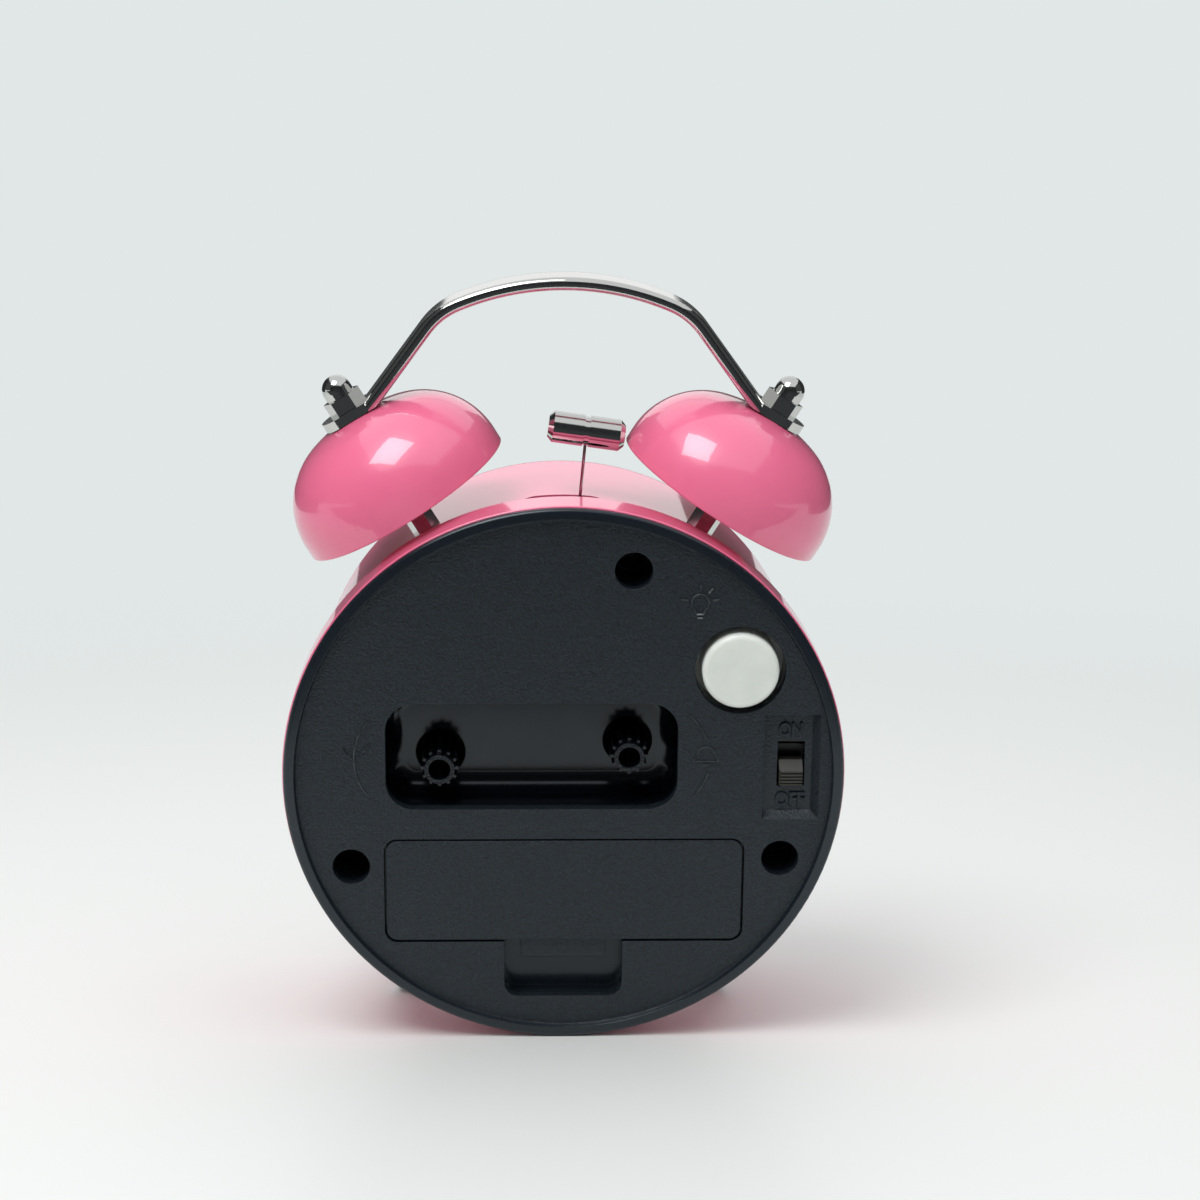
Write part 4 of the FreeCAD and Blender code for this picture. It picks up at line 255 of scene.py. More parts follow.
def black_abs(name, tones, rough, polish):
    """Black ABS between two tones: rough on the face, polished on the bead and below."""
    made, tree, shader, grid = start_finish(name, {"IOR": 1.54, "Specular Tint": COOL})
    place = on_the_drum(tree, grid)
    flat = add_node(tree, "ShaderNodeCombineXYZ", links={"X": place["X"], "Y": place["Z"]})
    reach = add_node(tree, "ShaderNodeVectorMath", {"operation": "LENGTH"},
                     {"Vector": flat.outputs["Vector"]})
    inside = add_node(tree, "ShaderNodeMapRange", {
        "From Min": GRAINED_WITHIN, "From Max": BEAD_BEYOND,
        "To Min": 1.0, "To Max": 0.0}, {"Value": reach.outputs["Value"]})
    surface = add_node(tree, "ShaderNodeMapRange", {
        "From Min": POLISHED_UNDER, "From Max": GRAINED_OVER}, {"Value": place["Y"]})
    grained = add_node(tree, "ShaderNodeMath", {"operation": "MULTIPLY"}, {
        0: inside.outputs["Result"], 1: surface.outputs["Result"]})
    grain = add_node(tree, "ShaderNodeTexNoise", {
        "Scale": 1 / GRAIN_MM, "Detail": 2.0, "Roughness": 0.6}, {"Vector": grid})
    signed = add_node(tree, "ShaderNodeMapRange", {
        "From Min": 0.25, "From Max": 0.75, "To Min": -0.5, "To Max": 0.5},
        {"Value": grain.outputs["Fac"]})
    height = add_node(tree, "ShaderNodeMath", {"operation": "MULTIPLY"}, {
        0: signed.outputs["Result"], 1: grained.outputs["Value"]})
    arris = add_node(tree, "ShaderNodeBevel", {"Radius": ARRIS_MM * MM})
    tooth = add_node(tree, "ShaderNodeBump", {"Strength": 1.0, "Distance": GRAIN_DEEP}, {
        "Height": height.outputs["Value"], "Normal": arris.outputs["Normal"]})
    tree.links.new(tooth.outputs["Normal"], shader.inputs["Normal"])
    level = add_node(tree, "ShaderNodeMath", {"operation": "ADD", 1: 0.5},
                     {0: height.outputs["Value"]})
    tone = add_node(tree, "ShaderNodeValToRGB", links={"Fac": level.outputs["Value"]})
    for stop, code in zip(tone.color_ramp.elements, tones):
        stop.color = linear(code)
    tree.links.new(tone.outputs["Color"], shader.inputs["Base Color"])
    mottle = add_node(tree, "ShaderNodeTexNoise", {"Scale": 1 / MOTTLE_MM, "Detail": 4.0},
                      {"Vector": grid})
    matt = add_node(tree, "ShaderNodeMapRange", {"To Min": polish, "To Max": rough},
                    {"Value": grained.outputs["Value"]})
    worn = add_node(tree, "ShaderNodeMapRange", {"To Min": -0.05, "To Max": 0.05},
                    {"Value": mottle.outputs["Fac"]})
    total = add_node(tree, "ShaderNodeMath", {"operation": "ADD", "use_clamp": True}, {
        0: matt.outputs["Result"], 1: worn.outputs["Result"]})
    tree.links.new(total.outputs["Value"], shader.inputs["Roughness"])
    return made


cover_abs = black_abs("grained_black_abs", ("#05090E", "#212A31"), 0.44, 0.2)
smooth_abs = black_abs("polished_black_abs", ("#06090F", "#06090F"), 0.22, 0.16)
print("plastics:", cover_abs.name, smooth_abs.name)

# %% [markdown]
# ## Plain plastics and paints
# The rest of the plastics, the paints and the dial card share one build: a colour that
# drifts between two close tones, and a fine tooth on the surface. The button is milk white
# ABS that lets a little light in, so it has some subsurface scattering. The lens over the
# dial is clear acrylic. The dial is a printed card with a faint paper tooth, and the wheels
# are acetal, which is white, waxy and slightly dull. The moulded marks stand proud and are
# coloured paler than the cover.

# %% Plain plastics and paints
TOOTH_SCALE = 2.5


def moulded(name, colours, rough, spot_mm, settings=None, depth=0.00001):
    """A plastic or paint whose colour drifts between two tones over spot_mm."""
    made, tree, shader, grid = start_finish(name, {"Roughness": rough, **(settings or {})})
    drift = add_node(tree, "ShaderNodeTexNoise", {"Scale": 1 / spot_mm, "Detail": 3.0},
                     {"Vector": grid})
    tone = add_node(tree, "ShaderNodeValToRGB", links={"Fac": drift.outputs["Fac"]})
    for stop, position, code in zip(tone.color_ramp.elements, (0.3, 0.7), colours):
        stop.position = position
        stop.color = linear(code)
    tree.links.new(tone.outputs["Color"], shader.inputs["Base Color"])
    fine = add_node(tree, "ShaderNodeTexNoise", {"Scale": TOOTH_SCALE, "Detail": 2.0},
                    {"Vector": grid})
    tooth = add_node(tree, "ShaderNodeBump", {"Strength": 0.4, "Distance": depth},
                     {"Height": fine.outputs["Fac"]})
    tree.links.new(tooth.outputs["Normal"], shader.inputs["Normal"])
    return made


button_abs = moulded("milk_white_abs", ("#DDE1DB", "#E6E9E3"), 0.28, 4.0, {
    "IOR": 1.54, "Subsurface Weight": 0.6, "Subsurface Scale": 0.0015,
    "Subsurface Radius": (1.0, 0.96, 0.9)})
slider_abs = moulded("satin_grey_abs", ("#2B2A27", "#36342F"), 0.42, 3.0, {"IOR": 1.54})
# The raised marks are coloured paler than the cover, and part of the lamp sign paler still.
pale_mark_abs = moulded("pale_mark_black_abs", ("#0D1217", "#3C4348"), 0.3, 1.6, {"IOR": 1.54})
paler_mark_abs = moulded("paler_mark_grey_abs", ("#33393D", "#8F9495"), 0.3, 1.2, {"IOR": 1.54})
lens_acrylic = moulded("clear_acrylic", ("#F6FAFB", "#FFFFFF"), 0.02, 30.0, {
    "IOR": 1.49, "Transmission Weight": 1.0}, 0.0)
dial_paper = moulded("printed_dial_card", ("#F1F0EA", "#F5F4EF"), 0.62, 9.0)
acetal = moulded("white_acetal", ("#D9D6CC", "#E2DFD6"), 0.5, 5.0)
frame_abs = moulded("dark_grey_abs", ("#1A1C1E", "#222427"), 0.5, 8.0)
dial_ink = moulded("dial_printing_ink", ("#17181B", "#1F2024"), 0.5, 3.0)
hand_black = moulded("black_hand_lacquer", ("#0E0F11", "#15161A"), 0.32, 6.0)
hand_pink = moulded("pink_hand_lacquer", ("#D2507B", "#DA5A84"), 0.32, 6.0)
glow_paint = moulded("pale_luminous_paint", ("#DDE6B8", "#E6EDC6"), 0.7, 2.0,
                     depth=0.00004)
board = moulded("green_circuit_board", ("#1F5A38", "#2A6B45"), 0.4, 3.0)
amber = moulded("amber_lamp_epoxy", ("#D98B2A", "#E79C3B"), 0.2, 2.0, {
    "Subsurface Weight": 0.3, "Subsurface Scale": 0.001})
print("plastics and paints:", 14)

# %% [markdown]
# The slider's foot lies deep in its slot, where shade makes it black. Its colour
# fades to black below a depth, measured out of the back plane of the drum: this black is
# painted shade.

# %% Painted shade on the slider's foot
FOOT_BLACK, FOOT_CLEAR = -4.2, -3.0
MIX_A, MIX_B, MIX_RESULT = 6, 7, 2
tree = slider_abs.node_tree
place = on_the_drum(tree, tree.nodes["Mapping"].outputs["Vector"])
shown = add_node(tree, "ShaderNodeMapRange", {"From Min": FOOT_BLACK, "From Max": FOOT_CLEAR},
                 {"Value": place["Y"]})
# Painted shade: the colour mixes towards near black from FOOT_CLEAR down to FOOT_BLACK.
painted_depth_shade = add_node(tree, "ShaderNodeMix", {"data_type": "RGBA", MIX_A: linear("#020304")}, {
    "Factor": shown.outputs["Result"], MIX_B: tree.nodes["Color Ramp"].outputs["Color"]})
tree.links.new(painted_depth_shade.outputs[MIX_RESULT], tree.nodes["Principled BSDF"].inputs["Base Color"])
print("slider:", slider_abs.name)

# %% [markdown]
# ## Bare metals inside
# Springs, screws and the ringer's frame are zinc plated steel, contacts are brass and the
# coils are enamelled copper wire. Zinc is duller than chrome and slightly blue. The wire
# needs its turns: a wave texture across the coil gives them at the pitch of the wire. Its
# own pitch at scale one is close to a third of a millimetre.

# %% Zinc, brass and copper wire
METAL_DRIFT_MM, WIRE_MM, WIRE_DEEP = 2.5, 0.4, 0.0002
WAVE_PITCH_MM = 0.3183


def bare_metal(name, colours, rough):
    """A metal whose tone drifts a little."""
    return moulded(name, colours, rough, METAL_DRIFT_MM, {"Metallic": 1.0})


zinc = bare_metal("zinc_plated_steel", ("#A9ABAF", "#B9BBBE"), 0.3)
# The rear screws get this dark grey metal: painted shade for the deep wells they sit in.
dark_screw_metal = bare_metal("dark_grey_screw_steel", ("#3A3C3F", "#46484B"), 0.36)
brass = bare_metal("plain_brass", ("#B8924A", "#C7A25A"), 0.28)
copper, tree, shader, grid = start_finish("enamelled_copper_wire", {
    "Base Color": linear("#A8542F"), "Metallic": 1.0, "Roughness": 0.3})
turns = add_node(tree, "ShaderNodeTexWave", {
    "wave_type": "BANDS", "bands_direction": "Z", "Scale": WAVE_PITCH_MM / WIRE_MM},
    {"Vector": grid})
wound = add_node(tree, "ShaderNodeBump", {"Strength": 1.0, "Distance": WIRE_DEEP},
                 {"Height": turns.outputs["Fac"]})
tree.links.new(wound.outputs["Normal"], shader.inputs["Normal"])
print("metals:", zinc.name, brass.name, copper.name)

# %% [markdown]
# ## Dress the frame
# The record names a finish for every solid. A table from those names to the materials
# dresses all of them at once. Both knobs, the switch case and the knob tub shine all over,
# because their moulds are polished, so they take the polished plastic.

# %% Assign the materials
FINISHES = {
    "pink_enamel": pink, "chrome": chrome, "black_plastic": cover_abs,
    "white_plastic": button_abs, "clear_lens": lens_acrylic, "dial_card": dial_paper,
    "hand_black": hand_black, "hand_pink": hand_pink, "steel": zinc, "brass": brass,
    "gear_plastic": acetal, "frame_plastic": frame_abs, "copper_wire": copper,
    "board_green": board, "lamp_amber": amber,
}
POLISHED = ("time_knob", "alarm_knob", "switch_case", "knob_tub")


def dress(thing, material):
    thing.data.materials.clear()
    thing.data.materials.append(material)


SPECIAL = {**{name: smooth_abs for name in POLISHED}, "alarm_slider": slider_abs}
for row in record["subparts"]:
    finish = SPECIAL.get(row["node"], FINISHES[row["material_slot"]])
    dress(frame["nodes"][row["node"]], finish)
print("dressed", len(record["subparts"]), "nodes")

# %% [markdown]
# ## From a bmesh to a piece
# New pieces are made in millimetres on one of the two planes. One function sends the mesh
# through the plane's matrix, turns the faces outwards and lets the piece ride on its body.
# Moving a bmesh leaves its face normals as they were, so they are brought up to date first.
# Otherwise the turning goes by the old ones and leaves some parts inside out.

# %% The piece maker
SHARP_FROM = math.radians(35)


def keep(name, mesh, plane, material, body, smooth=True):
    """Makes an object of a bmesh, with its place in its mesh, and rides it on a body."""
    mesh.transform(plane)
    mesh.normal_update()
    bmesh.ops.recalc_face_normals(mesh, faces=mesh.faces)
    data = bpy.data.meshes.new(name)
    mesh.to_mesh(data)
    mesh.free()
    if smooth:
        data.shade_smooth()
    made = bpy.data.objects.new(name, data)
    bpy.context.scene.collection.objects.link(made)
    dress(made, material)
    if smooth:
        data.set_sharp_from_angle(angle=SHARP_FROM)
    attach(made, body)
    print(name, len(data.polygons), "faces")
    return made


def curve_mesh(data):
    """The mesh of a text or a line, in a bmesh with its doubles merged."""
    holder = bpy.data.objects.new("holder", data)
    bpy.context.scene.collection.objects.link(holder)
    bpy.context.view_layer.update()
    shown = bpy.data.meshes.new_from_object(
        holder.evaluated_get(bpy.context.evaluated_depsgraph_get()))
    bpy.data.objects.remove(holder, do_unlink=True)
    mesh = bmesh.new()
    mesh.from_mesh(shown)
    bpy.data.meshes.remove(shown)
    bmesh.ops.remove_doubles(mesh, verts=mesh.verts, dist=0.0005)
    return mesh


# %% [markdown]
# ## Raised letters and line marks
# The marks on the cover were cut into the mould, so they stand up from the plastic: ON and
# OFF by the alarm switch, a lamp over the light button, an arrow for each knob and a bell
# on the alarm's. Letters are text with a little depth and a bevel. A line mark is a curve
# with a round bevel, pressed flat, which gives the soft ridge that a milled groove leaves.

# %% Letter and line helpers
SIZE_PER_CAPITAL = 1.37
FINE_BEVEL = 0.02


def letters(text, height, depth, weight=0.0, bevel=FINE_BEVEL):
    """Text that is centred on the origin, with capitals height tall, and depth thick."""
    data = bpy.data.curves.new("letters", "FONT")
    data.body = text
    data.align_x = "CENTER"
    data.align_y = "CENTER"
    data.size = height * SIZE_PER_CAPITAL
    data.extrude = depth / 2 - bevel
    data.bevel_depth = bevel
    data.bevel_resolution = 1
    data.offset = weight - bevel
    data.resolution_u = 4
    return curve_mesh(data)


def ridges(paths, width, height):
    """Raised lines along paths of points, width across and height proud."""
    data = bpy.data.curves.new("ridges", "CURVE")
    data.dimensions = "3D"
    data.bevel_depth = width / 2
    data.bevel_resolution = 2
    data.use_fill_caps = True
    for path in paths:
        line = data.splines.new("POLY")
        line.points.add(len(path) - 1)
        for point, (x, y) in zip(line.points, path):
            point.co = (x, y, 0, 1)
    mesh = curve_mesh(data)
    bmesh.ops.scale(mesh, vec=(1, 1, 2 * height / width), verts=mesh.verts)
    return mesh


def arc(x, y, radius, start, end, steps=14):
    """Points on an arc, in degrees anticlockwise from the right."""
    angles = [math.radians(start + (end - start) * i / steps) for i in range(steps + 1)]
    return [(x + radius * math.cos(a), y + radius * math.sin(a)) for a in angles]


print("an arc:", [tuple(round(c, 2) for c in p) for p in arc(0, 0, 1, 0, 90, 2)])

# %% Letters at the alarm switch
LETTER_TALL, LETTER_DEEP, LETTER_WEIGHT, LETTER_BEVEL = 2.35, 0.76, 0.14, 0.08
RECESS_W = -1.5
for name, text, u, v, narrow in (("on_letters", "ON", 35.6, 7.6, 0.75),
                                 ("off_letters", "OFF", 35.7, -4.05, 0.83)):
    mesh = letters(text, LETTER_TALL, LETTER_DEEP, LETTER_WEIGHT, LETTER_BEVEL)
    bmesh.ops.scale(mesh, vec=(narrow, 1, 1), verts=mesh.verts)
    bmesh.ops.translate(mesh, vec=(u, v, RECESS_W), verts=mesh.verts)
    keep(name, mesh, REAR, cover_abs, "clock", smooth=False)

# %% [markdown]
# The lamp sign is a bulb with five rays. Its base and one ray are coloured almost white, so
# they are a piece of their own with a paler plastic.

# %% Lamp sign
MARK_WIDTH, MARK_HEIGHT = 0.26, 0.22
LAMP_U, LAMP_V = 20.8, 29.0
RAY_ANGLES, PALER_RAY, RAY_FROM, RAY_TO = (10, 50, 90, 130, 170), 50, 2.0, 2.9
lamp_paths = [arc(LAMP_U, LAMP_V, 1.35, -55, 235)]
lamp_paths += [[(LAMP_U - 0.75, LAMP_V - 1.15), (LAMP_U - 0.55, LAMP_V - 1.9)],
               [(LAMP_U + 0.75, LAMP_V - 1.15), (LAMP_U + 0.55, LAMP_V - 1.9)]]
paler_paths = [[(LAMP_U - 0.55, LAMP_V - 1.9), (LAMP_U + 0.55, LAMP_V - 1.9)],
                [(LAMP_U - 0.4, LAMP_V - 2.5), (LAMP_U + 0.4, LAMP_V - 2.5)]]
for angle in RAY_ANGLES:
    c, s = math.cos(math.radians(angle)), math.sin(math.radians(angle))
    ray = [(LAMP_U + r * c, LAMP_V + r * s) for r in (RAY_FROM, RAY_TO)]
    (paler_paths if angle == PALER_RAY else lamp_paths).append(ray)
keep("lamp_mark", ridges(lamp_paths, MARK_WIDTH, MARK_HEIGHT), REAR, pale_mark_abs, "clock")
keep("lamp_mark_paler", ridges(paler_paths, MARK_WIDTH, MARK_HEIGHT), REAR, paler_mark_abs,
     "clock")

# %% Turning arrows and the bell sign
TIME_RING, ALARM_RING = (-22.9, 3.4, 10.0), (13.2, 3.4, 9.6)
time_paths = [arc(*TIME_RING, 141, 217),
              [(-34.7, 5.2), (-32.9, 3.0), (-30.4, 6.0)]]
keep("time_arrow", ridges(time_paths, MARK_WIDTH, MARK_HEIGHT), REAR, pale_mark_abs, "clock")
alarm_paths = [arc(*ALARM_RING, 46, 22), arc(*ALARM_RING, -14, -40),
               [(18.9, 10.9), (20.2, 10.1)],
               arc(22.2, 3.9, 1.45, 10, 170),
               [(20.7, 4.1), (20.3, 3.0), (24.1, 3.0), (23.7, 4.1)],
               [(21.7, 2.4), (22.7, 2.4)]]
keep("alarm_arrow", ridges(alarm_paths, MARK_WIDTH, MARK_HEIGHT), REAR, pale_mark_abs, "clock")

# %% [markdown]
# ## The dial
# The front can't be seen in the photograph, so the dial follows the plainest clock of this
# kind: black numbers, a ring of minute strokes and longer strokes at the hours. They are
# printed, so each stroke is a plate a few hundredths of a millimetre thick on the card.

# %% Numbers on the dial
DIAL_W, INK = 33.5, 0.05
NUMBER_RING, NUMBER_TALL, NUMBER_WEIGHT = 25.6, 5.6, 0.05
mesh = bmesh.new()
for hour in range(1, 13):
    angle = math.radians(90 - 30 * hour)
    one = letters(str(hour), NUMBER_TALL, 2 * INK, NUMBER_WEIGHT)
    bmesh.ops.translate(one, verts=one.verts, vec=(
        NUMBER_RING * math.cos(angle), NUMBER_RING * math.sin(angle), DIAL_W))
    holder = bpy.data.meshes.new("number")
    one.to_mesh(holder)
    one.free()
    mesh.from_mesh(holder)
    bpy.data.meshes.remove(holder)
keep("dial_numbers", mesh, DIAL, dial_ink, "clock", smooth=False)

# %% Minute strokes
STROKE_END = 33.9
HOUR_STROKE, MINUTE_STROKE = (30.6, 0.9), (32.2, 0.32)
mesh = bmesh.new()
for minute in range(60):
    inner, wide = HOUR_STROKE if minute % 5 == 0 else MINUTE_STROKE
    made = bmesh.ops.create_cube(mesh, size=1.0)["verts"]
    bmesh.ops.scale(mesh, vec=(STROKE_END - inner, wide, 2 * INK), verts=made)
    bmesh.ops.translate(mesh, vec=((STROKE_END + inner) / 2, 0, DIAL_W), verts=made)
    bmesh.ops.rotate(mesh, cent=(0, 0, 0), verts=made,
                     matrix=Matrix.Rotation(math.radians(6 * minute), 3, "Z"))
keep("minute_strokes", mesh, DIAL, dial_ink, "clock", smooth=False)

# %% [markdown]
# ## Luminous strips on the hands
# The hour and minute hands carry a strip of pale luminous paint. The strip is a thin bar
# with rounded edges on the front of each hand, and it rides on the same body as the hand.

# %% Strips on the two hands
STRIP_THICK, STRIP_ROUND, HUB_CLEAR = 0.24, 0.09, 6.5
HANDS = (("hour_strip", "hour_hand", "hour", 305.0, 7.0, 14.6, 1.0),
         ("minute_strip", "minute_hand", "centre", 60.0, 9.0, 21.8, 0.8))
for name, hand, body, clockwise, start, end, wide in HANDS:
    spots = [DRUM.inverted() @ v.co for v in frame["nodes"][hand].data.vertices]
    ahead = max(-spot.y for spot in spots if spot.xz.length > HUB_CLEAR)
    mesh = bmesh.new()
    made = bmesh.ops.create_cube(mesh, size=1.0)["verts"]
    bmesh.ops.scale(mesh, vec=(wide, end - start, STRIP_THICK), verts=made)
    bmesh.ops.translate(mesh, vec=(0, (start + end) / 2, ahead), verts=made)
    bmesh.ops.bevel(mesh, geom=mesh.edges[:], offset=STRIP_ROUND, offset_type="OFFSET",
                    segments=2, profile=0.5, affect="EDGES", material=-1)
    bmesh.ops.rotate(mesh, cent=(0, 0, 0), verts=mesh.verts,
                     matrix=Matrix.Rotation(math.radians(-clockwise), 3, "Z"))
    keep(name, mesh, DIAL, glow_paint, body)

# %% [markdown]
# ## Cross slots in the rear screws
# Three screws sit deep in the cover. Their heads are pan heads with a cross slot. A pan
# head is a turned profile, so it is spun, and the slot is cut out of it with a boolean.

# %% One screw and its slots
HEAD_TALL, HEAD_R, SHANK_R, SHANK_END = 2.0, 2.5, 1.2, -8.0
SLOT_LONG, SLOT_WIDE, SLOT_TALL = 2.9, 0.55, 2.0
mesh = bmesh.new()
profile = [(0, HEAD_TALL), (1.4, HEAD_TALL - 0.12), (2.1, HEAD_TALL - 0.55),
           (HEAD_R, HEAD_TALL - 1.2), (HEAD_R, 0), (SHANK_R, 0), (SHANK_R, SHANK_END + 0.6),
           (0.5, SHANK_END), (0, SHANK_END)]
points = [mesh.verts.new((r, 0, z)) for r, z in profile]
lines = [mesh.edges.new(pair) for pair in zip(points, points[1:])]
bmesh.ops.spin(mesh, geom=points + lines, cent=(0, 0, 0), axis=(0, 0, 1),
               angle=2 * math.pi, steps=36, use_merge=True)
bmesh.ops.remove_doubles(mesh, verts=mesh.verts, dist=0.001)
bmesh.ops.recalc_face_normals(mesh, faces=mesh.faces)
head_data = bpy.data.meshes.new("screw")
mesh.to_mesh(head_data)
mesh.free()
slot_mesh = bmesh.new()
for turn_by in (0, 90):
    bar = bmesh.ops.create_cube(slot_mesh, size=1.0)["verts"]
    bmesh.ops.scale(slot_mesh, vec=(SLOT_LONG, SLOT_WIDE, SLOT_TALL), verts=bar)
    bmesh.ops.translate(slot_mesh, vec=(0, 0, HEAD_TALL), verts=bar)
    bmesh.ops.rotate(slot_mesh, cent=(0, 0, 0), verts=bar,
                     matrix=Matrix.Rotation(math.radians(turn_by), 3, "Z"))
slot_data = bpy.data.meshes.new("slot")
slot_mesh.to_mesh(slot_data)
slot_mesh.free()
print("screw blank:", len(head_data.vertices), "points")

# %% Cut the slots and place the three screws
SCREWS = ((10.5, 34.05), (-33.6, -14.65), (34.3, -13.4))
HEAD_LOW, FIRST_TURN, NEXT_TURN = -10.5, 20, 50
screw = bpy.data.objects.new("screw_blank", head_data)
cutter = bpy.data.objects.new("screw_cutter", slot_data)
for thing in (screw, cutter):
    bpy.context.scene.collection.objects.link(thing)
slotting = screw.modifiers.new("slot", "BOOLEAN")
slotting.operation = "DIFFERENCE"
slotting.object = cutter
slotting.solver = "EXACT"
slotting.use_self = True
bpy.context.view_layer.update()
slotted = bpy.data.meshes.new_from_object(
    screw.evaluated_get(bpy.context.evaluated_depsgraph_get()))
for thing in (screw, cutter):
    bpy.data.objects.remove(thing, do_unlink=True)
mesh = bmesh.new()
for place, (u, v) in enumerate(SCREWS):
    before = len(mesh.verts)
    mesh.from_mesh(slotted)
    mesh.verts.ensure_lookup_table()
    made = mesh.verts[before:]
    bmesh.ops.rotate(mesh, cent=(0, 0, 0), verts=made,
                     matrix=Matrix.Rotation(math.radians(FIRST_TURN + NEXT_TURN * place),
                                            3, "Z"))
    bmesh.ops.translate(mesh, verts=made, vec=(u, v, HEAD_LOW))
# The screws' dark metal is painted shade for the deep wells.
screws = keep("cross_slot_screws", mesh, REAR, dark_screw_metal, "clock")
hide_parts("back_screws")

# %% [markdown]
# ## Floor, backdrop and light
# The clock stands on a pale sheet that runs up behind it with no edge. Near the clock the
# floor is a real surface, which takes the shadow and a weak sheen. Farther out it fades
# into one plain colour, the same as the world's, so no horizon shows from any side. The
# camera, the reflections and the lens see that colour, but it puts no light on the clock.
# Above the sheet the reflections meet a dim room instead.

# %% Which rays see the backdrop
PALE = linear("#E1E7E7")
SEEN = ("Is Camera Ray", "Is Glossy Ray", "Is Transmission Ray")


def ray_mask(tree, kinds):
    """A socket that is one for rays of the named kinds and zero for all others."""
    path = add_node(tree, "ShaderNodeLightPath")
    total = path.outputs[kinds[0]]
    for kind in kinds[1:]:
        both = add_node(tree, "ShaderNodeMath", {"operation": "ADD", "use_clamp": True}, {
            0: total, 1: path.outputs[kind]})
        total = both.outputs["Value"]
    return total


print("the plain colour shows to:", SEEN)

# %% Backdrop paper
PAPER_MM, PLAIN_MM = 120.0, 520.0
floor_paper, tree, shader, grid = start_finish("pale_backdrop_paper", {
    "Base Color": linear("#E0E1DE"), "Roughness": 0.45, "IOR": 1.45,
    "Specular IOR Level": 0.35})
from_middle = add_node(tree, "ShaderNodeVectorMath", {"operation": "LENGTH"}, {
    "Vector": grid})
far = add_node(tree, "ShaderNodeMapRange", {
    "interpolation_type": "SMOOTHSTEP", "From Min": PAPER_MM, "From Max": PLAIN_MM},
    {"Value": from_middle.outputs["Value"]})
share = add_node(tree, "ShaderNodeMath", {"operation": "MULTIPLY"}, {
    0: far.outputs["Result"], 1: ray_mask(tree, SEEN)})
plain = add_node(tree, "ShaderNodeEmission", {"Color": PALE, "Strength": 1.0})
blend = add_node(tree, "ShaderNodeMixShader", links={
    0: share.outputs["Value"], 1: shader.outputs["BSDF"], 2: plain.outputs["Emission"]})
tree.links.new(blend.outputs["Shader"], tree.nodes["Material Output"].inputs["Surface"])
print("paper:", floor_paper.name)

# %% Floor
FLOOR_RADIUS = 4.0
mesh = bmesh.new()
bmesh.ops.create_circle(mesh, cap_ends=True, radius=FLOOR_RADIUS, segments=96)
data = bpy.data.meshes.new("floor")
mesh.to_mesh(data)
mesh.free()
floor = bpy.data.objects.new("floor", data)
bpy.context.scene.collection.objects.link(floor)
dress(floor, floor_paper)
floor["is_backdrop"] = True
print("floor radius:", FLOOR_RADIUS)

# %% World
LIFT, ROOM = 0.5, 0.1
world = bpy.data.worlds.new("studio")
world.use_nodes = True
bpy.context.scene.world = world
sky = world.node_tree
sky.nodes["Background"].inputs["Color"].default_value = linear("#E2E6E8")
sky.nodes["Background"].inputs["Strength"].default_value = LIFT
strength = add_node(sky, "ShaderNodeMapRange", {"To Min": ROOM, "To Max": 1.0}, {
    "Value": ray_mask(sky, ("Is Camera Ray", "Is Transmission Ray"))})
plain = add_node(sky, "ShaderNodeBackground", {"Color": PALE}, {
    "Strength": strength.outputs["Result"]})
blend = add_node(sky, "ShaderNodeMixShader", links={
    0: ray_mask(sky, SEEN), 1: sky.nodes["Background"].outputs["Background"],
    2: plain.outputs["Background"]})
sky.links.new(blend.outputs["Shader"], sky.nodes["World Output"].inputs["Surface"])
print("world strength:", LIFT)

# %% [markdown]
# ## Lamps
# The two bright windows on the bells are the mirror image of one softbox, high up on the
# camera's left. Tracing those spots back from the bells gives its direction. A much wider
# light straight above gives the soft shadows, and one beyond the dial puts the white band
# on the handle and the sheen on the top of the drum.


# %% Softboxes
def softbox(name, place, aim, wide, tall, power, colour):
    """A rectangular lamp that faces aim, in metres and watts."""
    data = bpy.data.lights.new(name, "AREA")
    data.shape = "RECTANGLE"
    data.size, data.size_y = wide, tall
    data.energy = power
    data.color = linear(colour)[:3]
    lamp = bpy.data.objects.new(name, data)
    lamp.visible_camera = False
    bpy.context.scene.collection.objects.link(lamp)
    away = Vector(place) - Vector(aim)
    lamp.matrix_world = (Matrix.Translation(Vector(place))
                         @ away.to_track_quat("Z", "Y").to_matrix().to_4x4())
    return lamp


softbox("window_light", (0.24, 0.33, 0.72), (0, 0.02, 0.07), 0.4, 0.4, 3.3, "#FFFFFF")
softbox("top_light", (-0.1, 0.0, 1.3), (-0.1, 0.0, 0.0), 2.2, 3.0, 17.5, "#FBFDFF")
softbox("back_light", (0.0, -1.5, 0.8), (0.0, 0.0, 0.12), 1.3, 0.75, 3.1, "#FFFFFF")
print("lamps: 3")
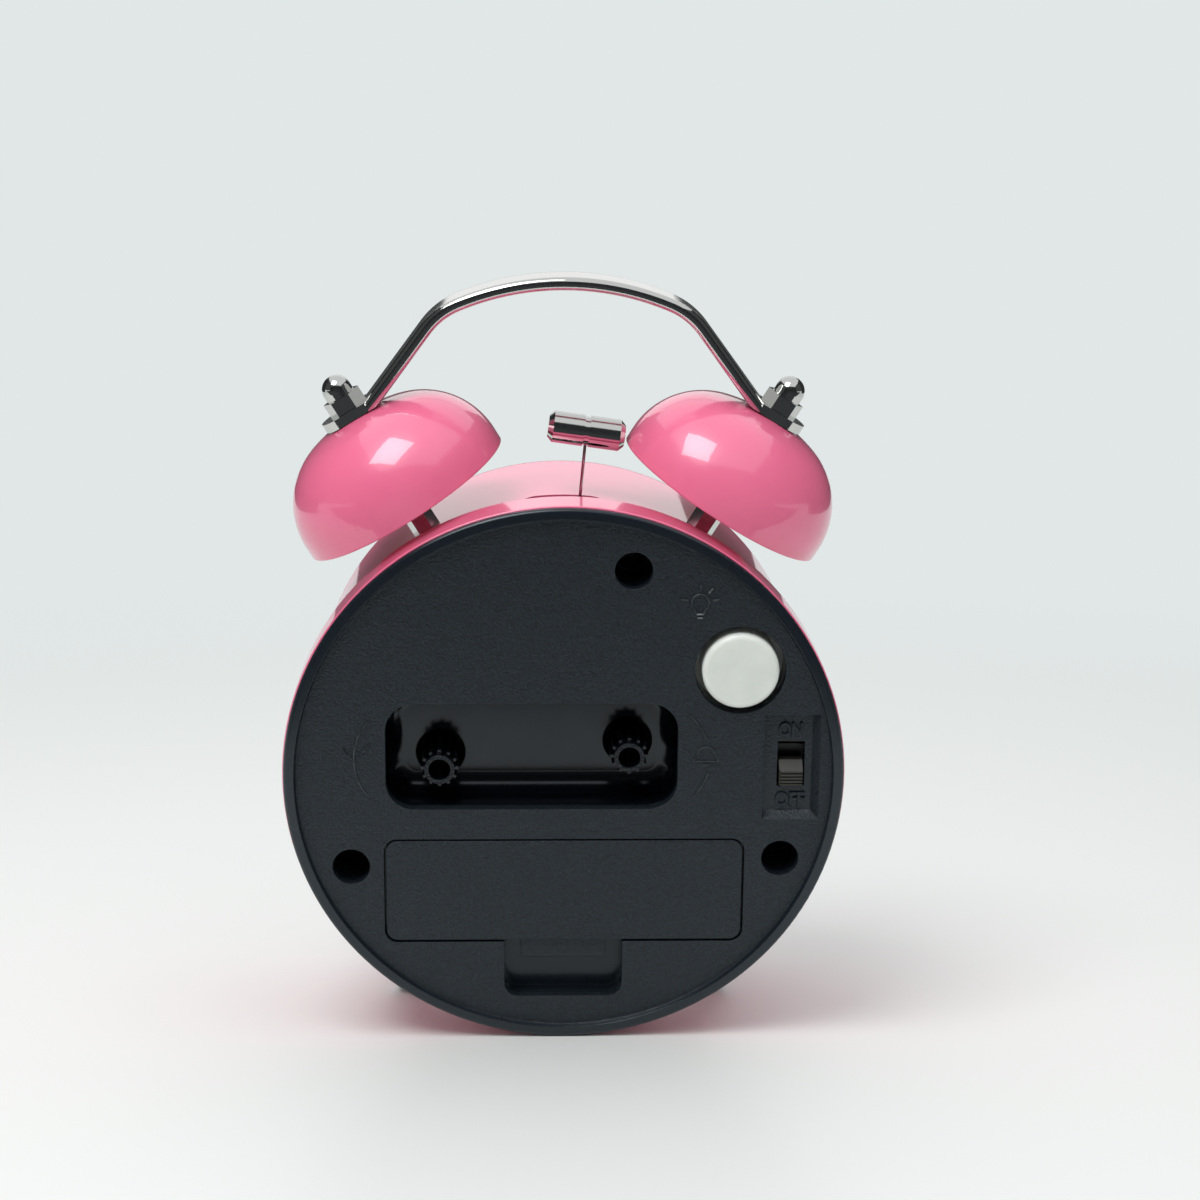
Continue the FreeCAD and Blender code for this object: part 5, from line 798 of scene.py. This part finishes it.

# %% [markdown]
# ## Dark card
# Chrome needs something dark to reflect, which in the real room is the unlit part behind
# the camera and on both sides. A dark card, painted shade that stands in for that unlit
# room, curves up behind the camera, and two walls of it stand beside the dial. Only
# reflections see them: they cast no shadow and take no light away.

# %% Painted shade of the unlit room
SHADE_DRIFT_MM = 20.0
room_shade_matt, tree, shader, grid = start_finish("unlit_room_painted_shade", {"Roughness": 0.9})
shade_drift = add_node(tree, "ShaderNodeTexNoise", {"Scale": 1 / SHADE_DRIFT_MM, "Detail": 2.0},
                 {"Vector": grid})
shade = add_node(tree, "ShaderNodeValToRGB", links={"Fac": shade_drift.outputs["Fac"]})
shade.color_ramp.elements[0].color = linear("#1B1D1F")
shade.color_ramp.elements[1].color = linear("#33373A")
tree.links.new(shade.outputs["Color"], shader.inputs["Base Color"])
print("flock:", room_shade_matt.name)

# %% Dark card for the reflections
CARD = [(0.12, 0.0015), (0.62, 0.0015), (0.78, 0.06), (0.85, 0.22), (0.85, 0.62)]
CARD_HALF = 0.9
WALL_SIDE, WALL_LONG, WALL_TALL, WALL_MIDDLE = 0.5, 1.3, 0.6, (-0.7, 0.3015)
mesh = bmesh.new()
edge = [mesh.verts.new((-CARD_HALF, y, z)) for y, z in CARD]
run = [mesh.edges.new(pair) for pair in zip(edge, edge[1:])]
grown = bmesh.ops.extrude_edge_only(mesh, edges=run)["geom"]
bmesh.ops.translate(mesh, vec=(2 * CARD_HALF, 0, 0),
                    verts=[v for v in grown if isinstance(v, bmesh.types.BMVert)])
for side in (-WALL_SIDE, WALL_SIDE):
    wall = bmesh.ops.create_grid(mesh, x_segments=1, y_segments=1, size=0.5)["verts"]
    bmesh.ops.rotate(mesh, cent=(0, 0, 0), matrix=Matrix.Rotation(math.radians(90), 3, "Y"),
                     verts=wall)
    bmesh.ops.scale(mesh, vec=(1, WALL_LONG, WALL_TALL), verts=wall)
    bmesh.ops.translate(mesh, vec=(side, *WALL_MIDDLE), verts=wall)
data = bpy.data.meshes.new("dark_card")
mesh.to_mesh(data)
mesh.free()
card = bpy.data.objects.new("dark_card", data)
bpy.context.scene.collection.objects.link(card)
dress(card, room_shade_matt)
card.visible_camera = False
card.visible_diffuse = False
card.visible_shadow = False
card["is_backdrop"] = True
print("dark card ends at:", CARD[-1])

bpy.context.scene.view_settings.view_transform = "Standard"
shown_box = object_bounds()
for low_cad, low_seen in zip(cad_box[0], shown_box[0]):
    print("low side, solids and scene:", round(low_cad, 5), round(low_seen, 5))
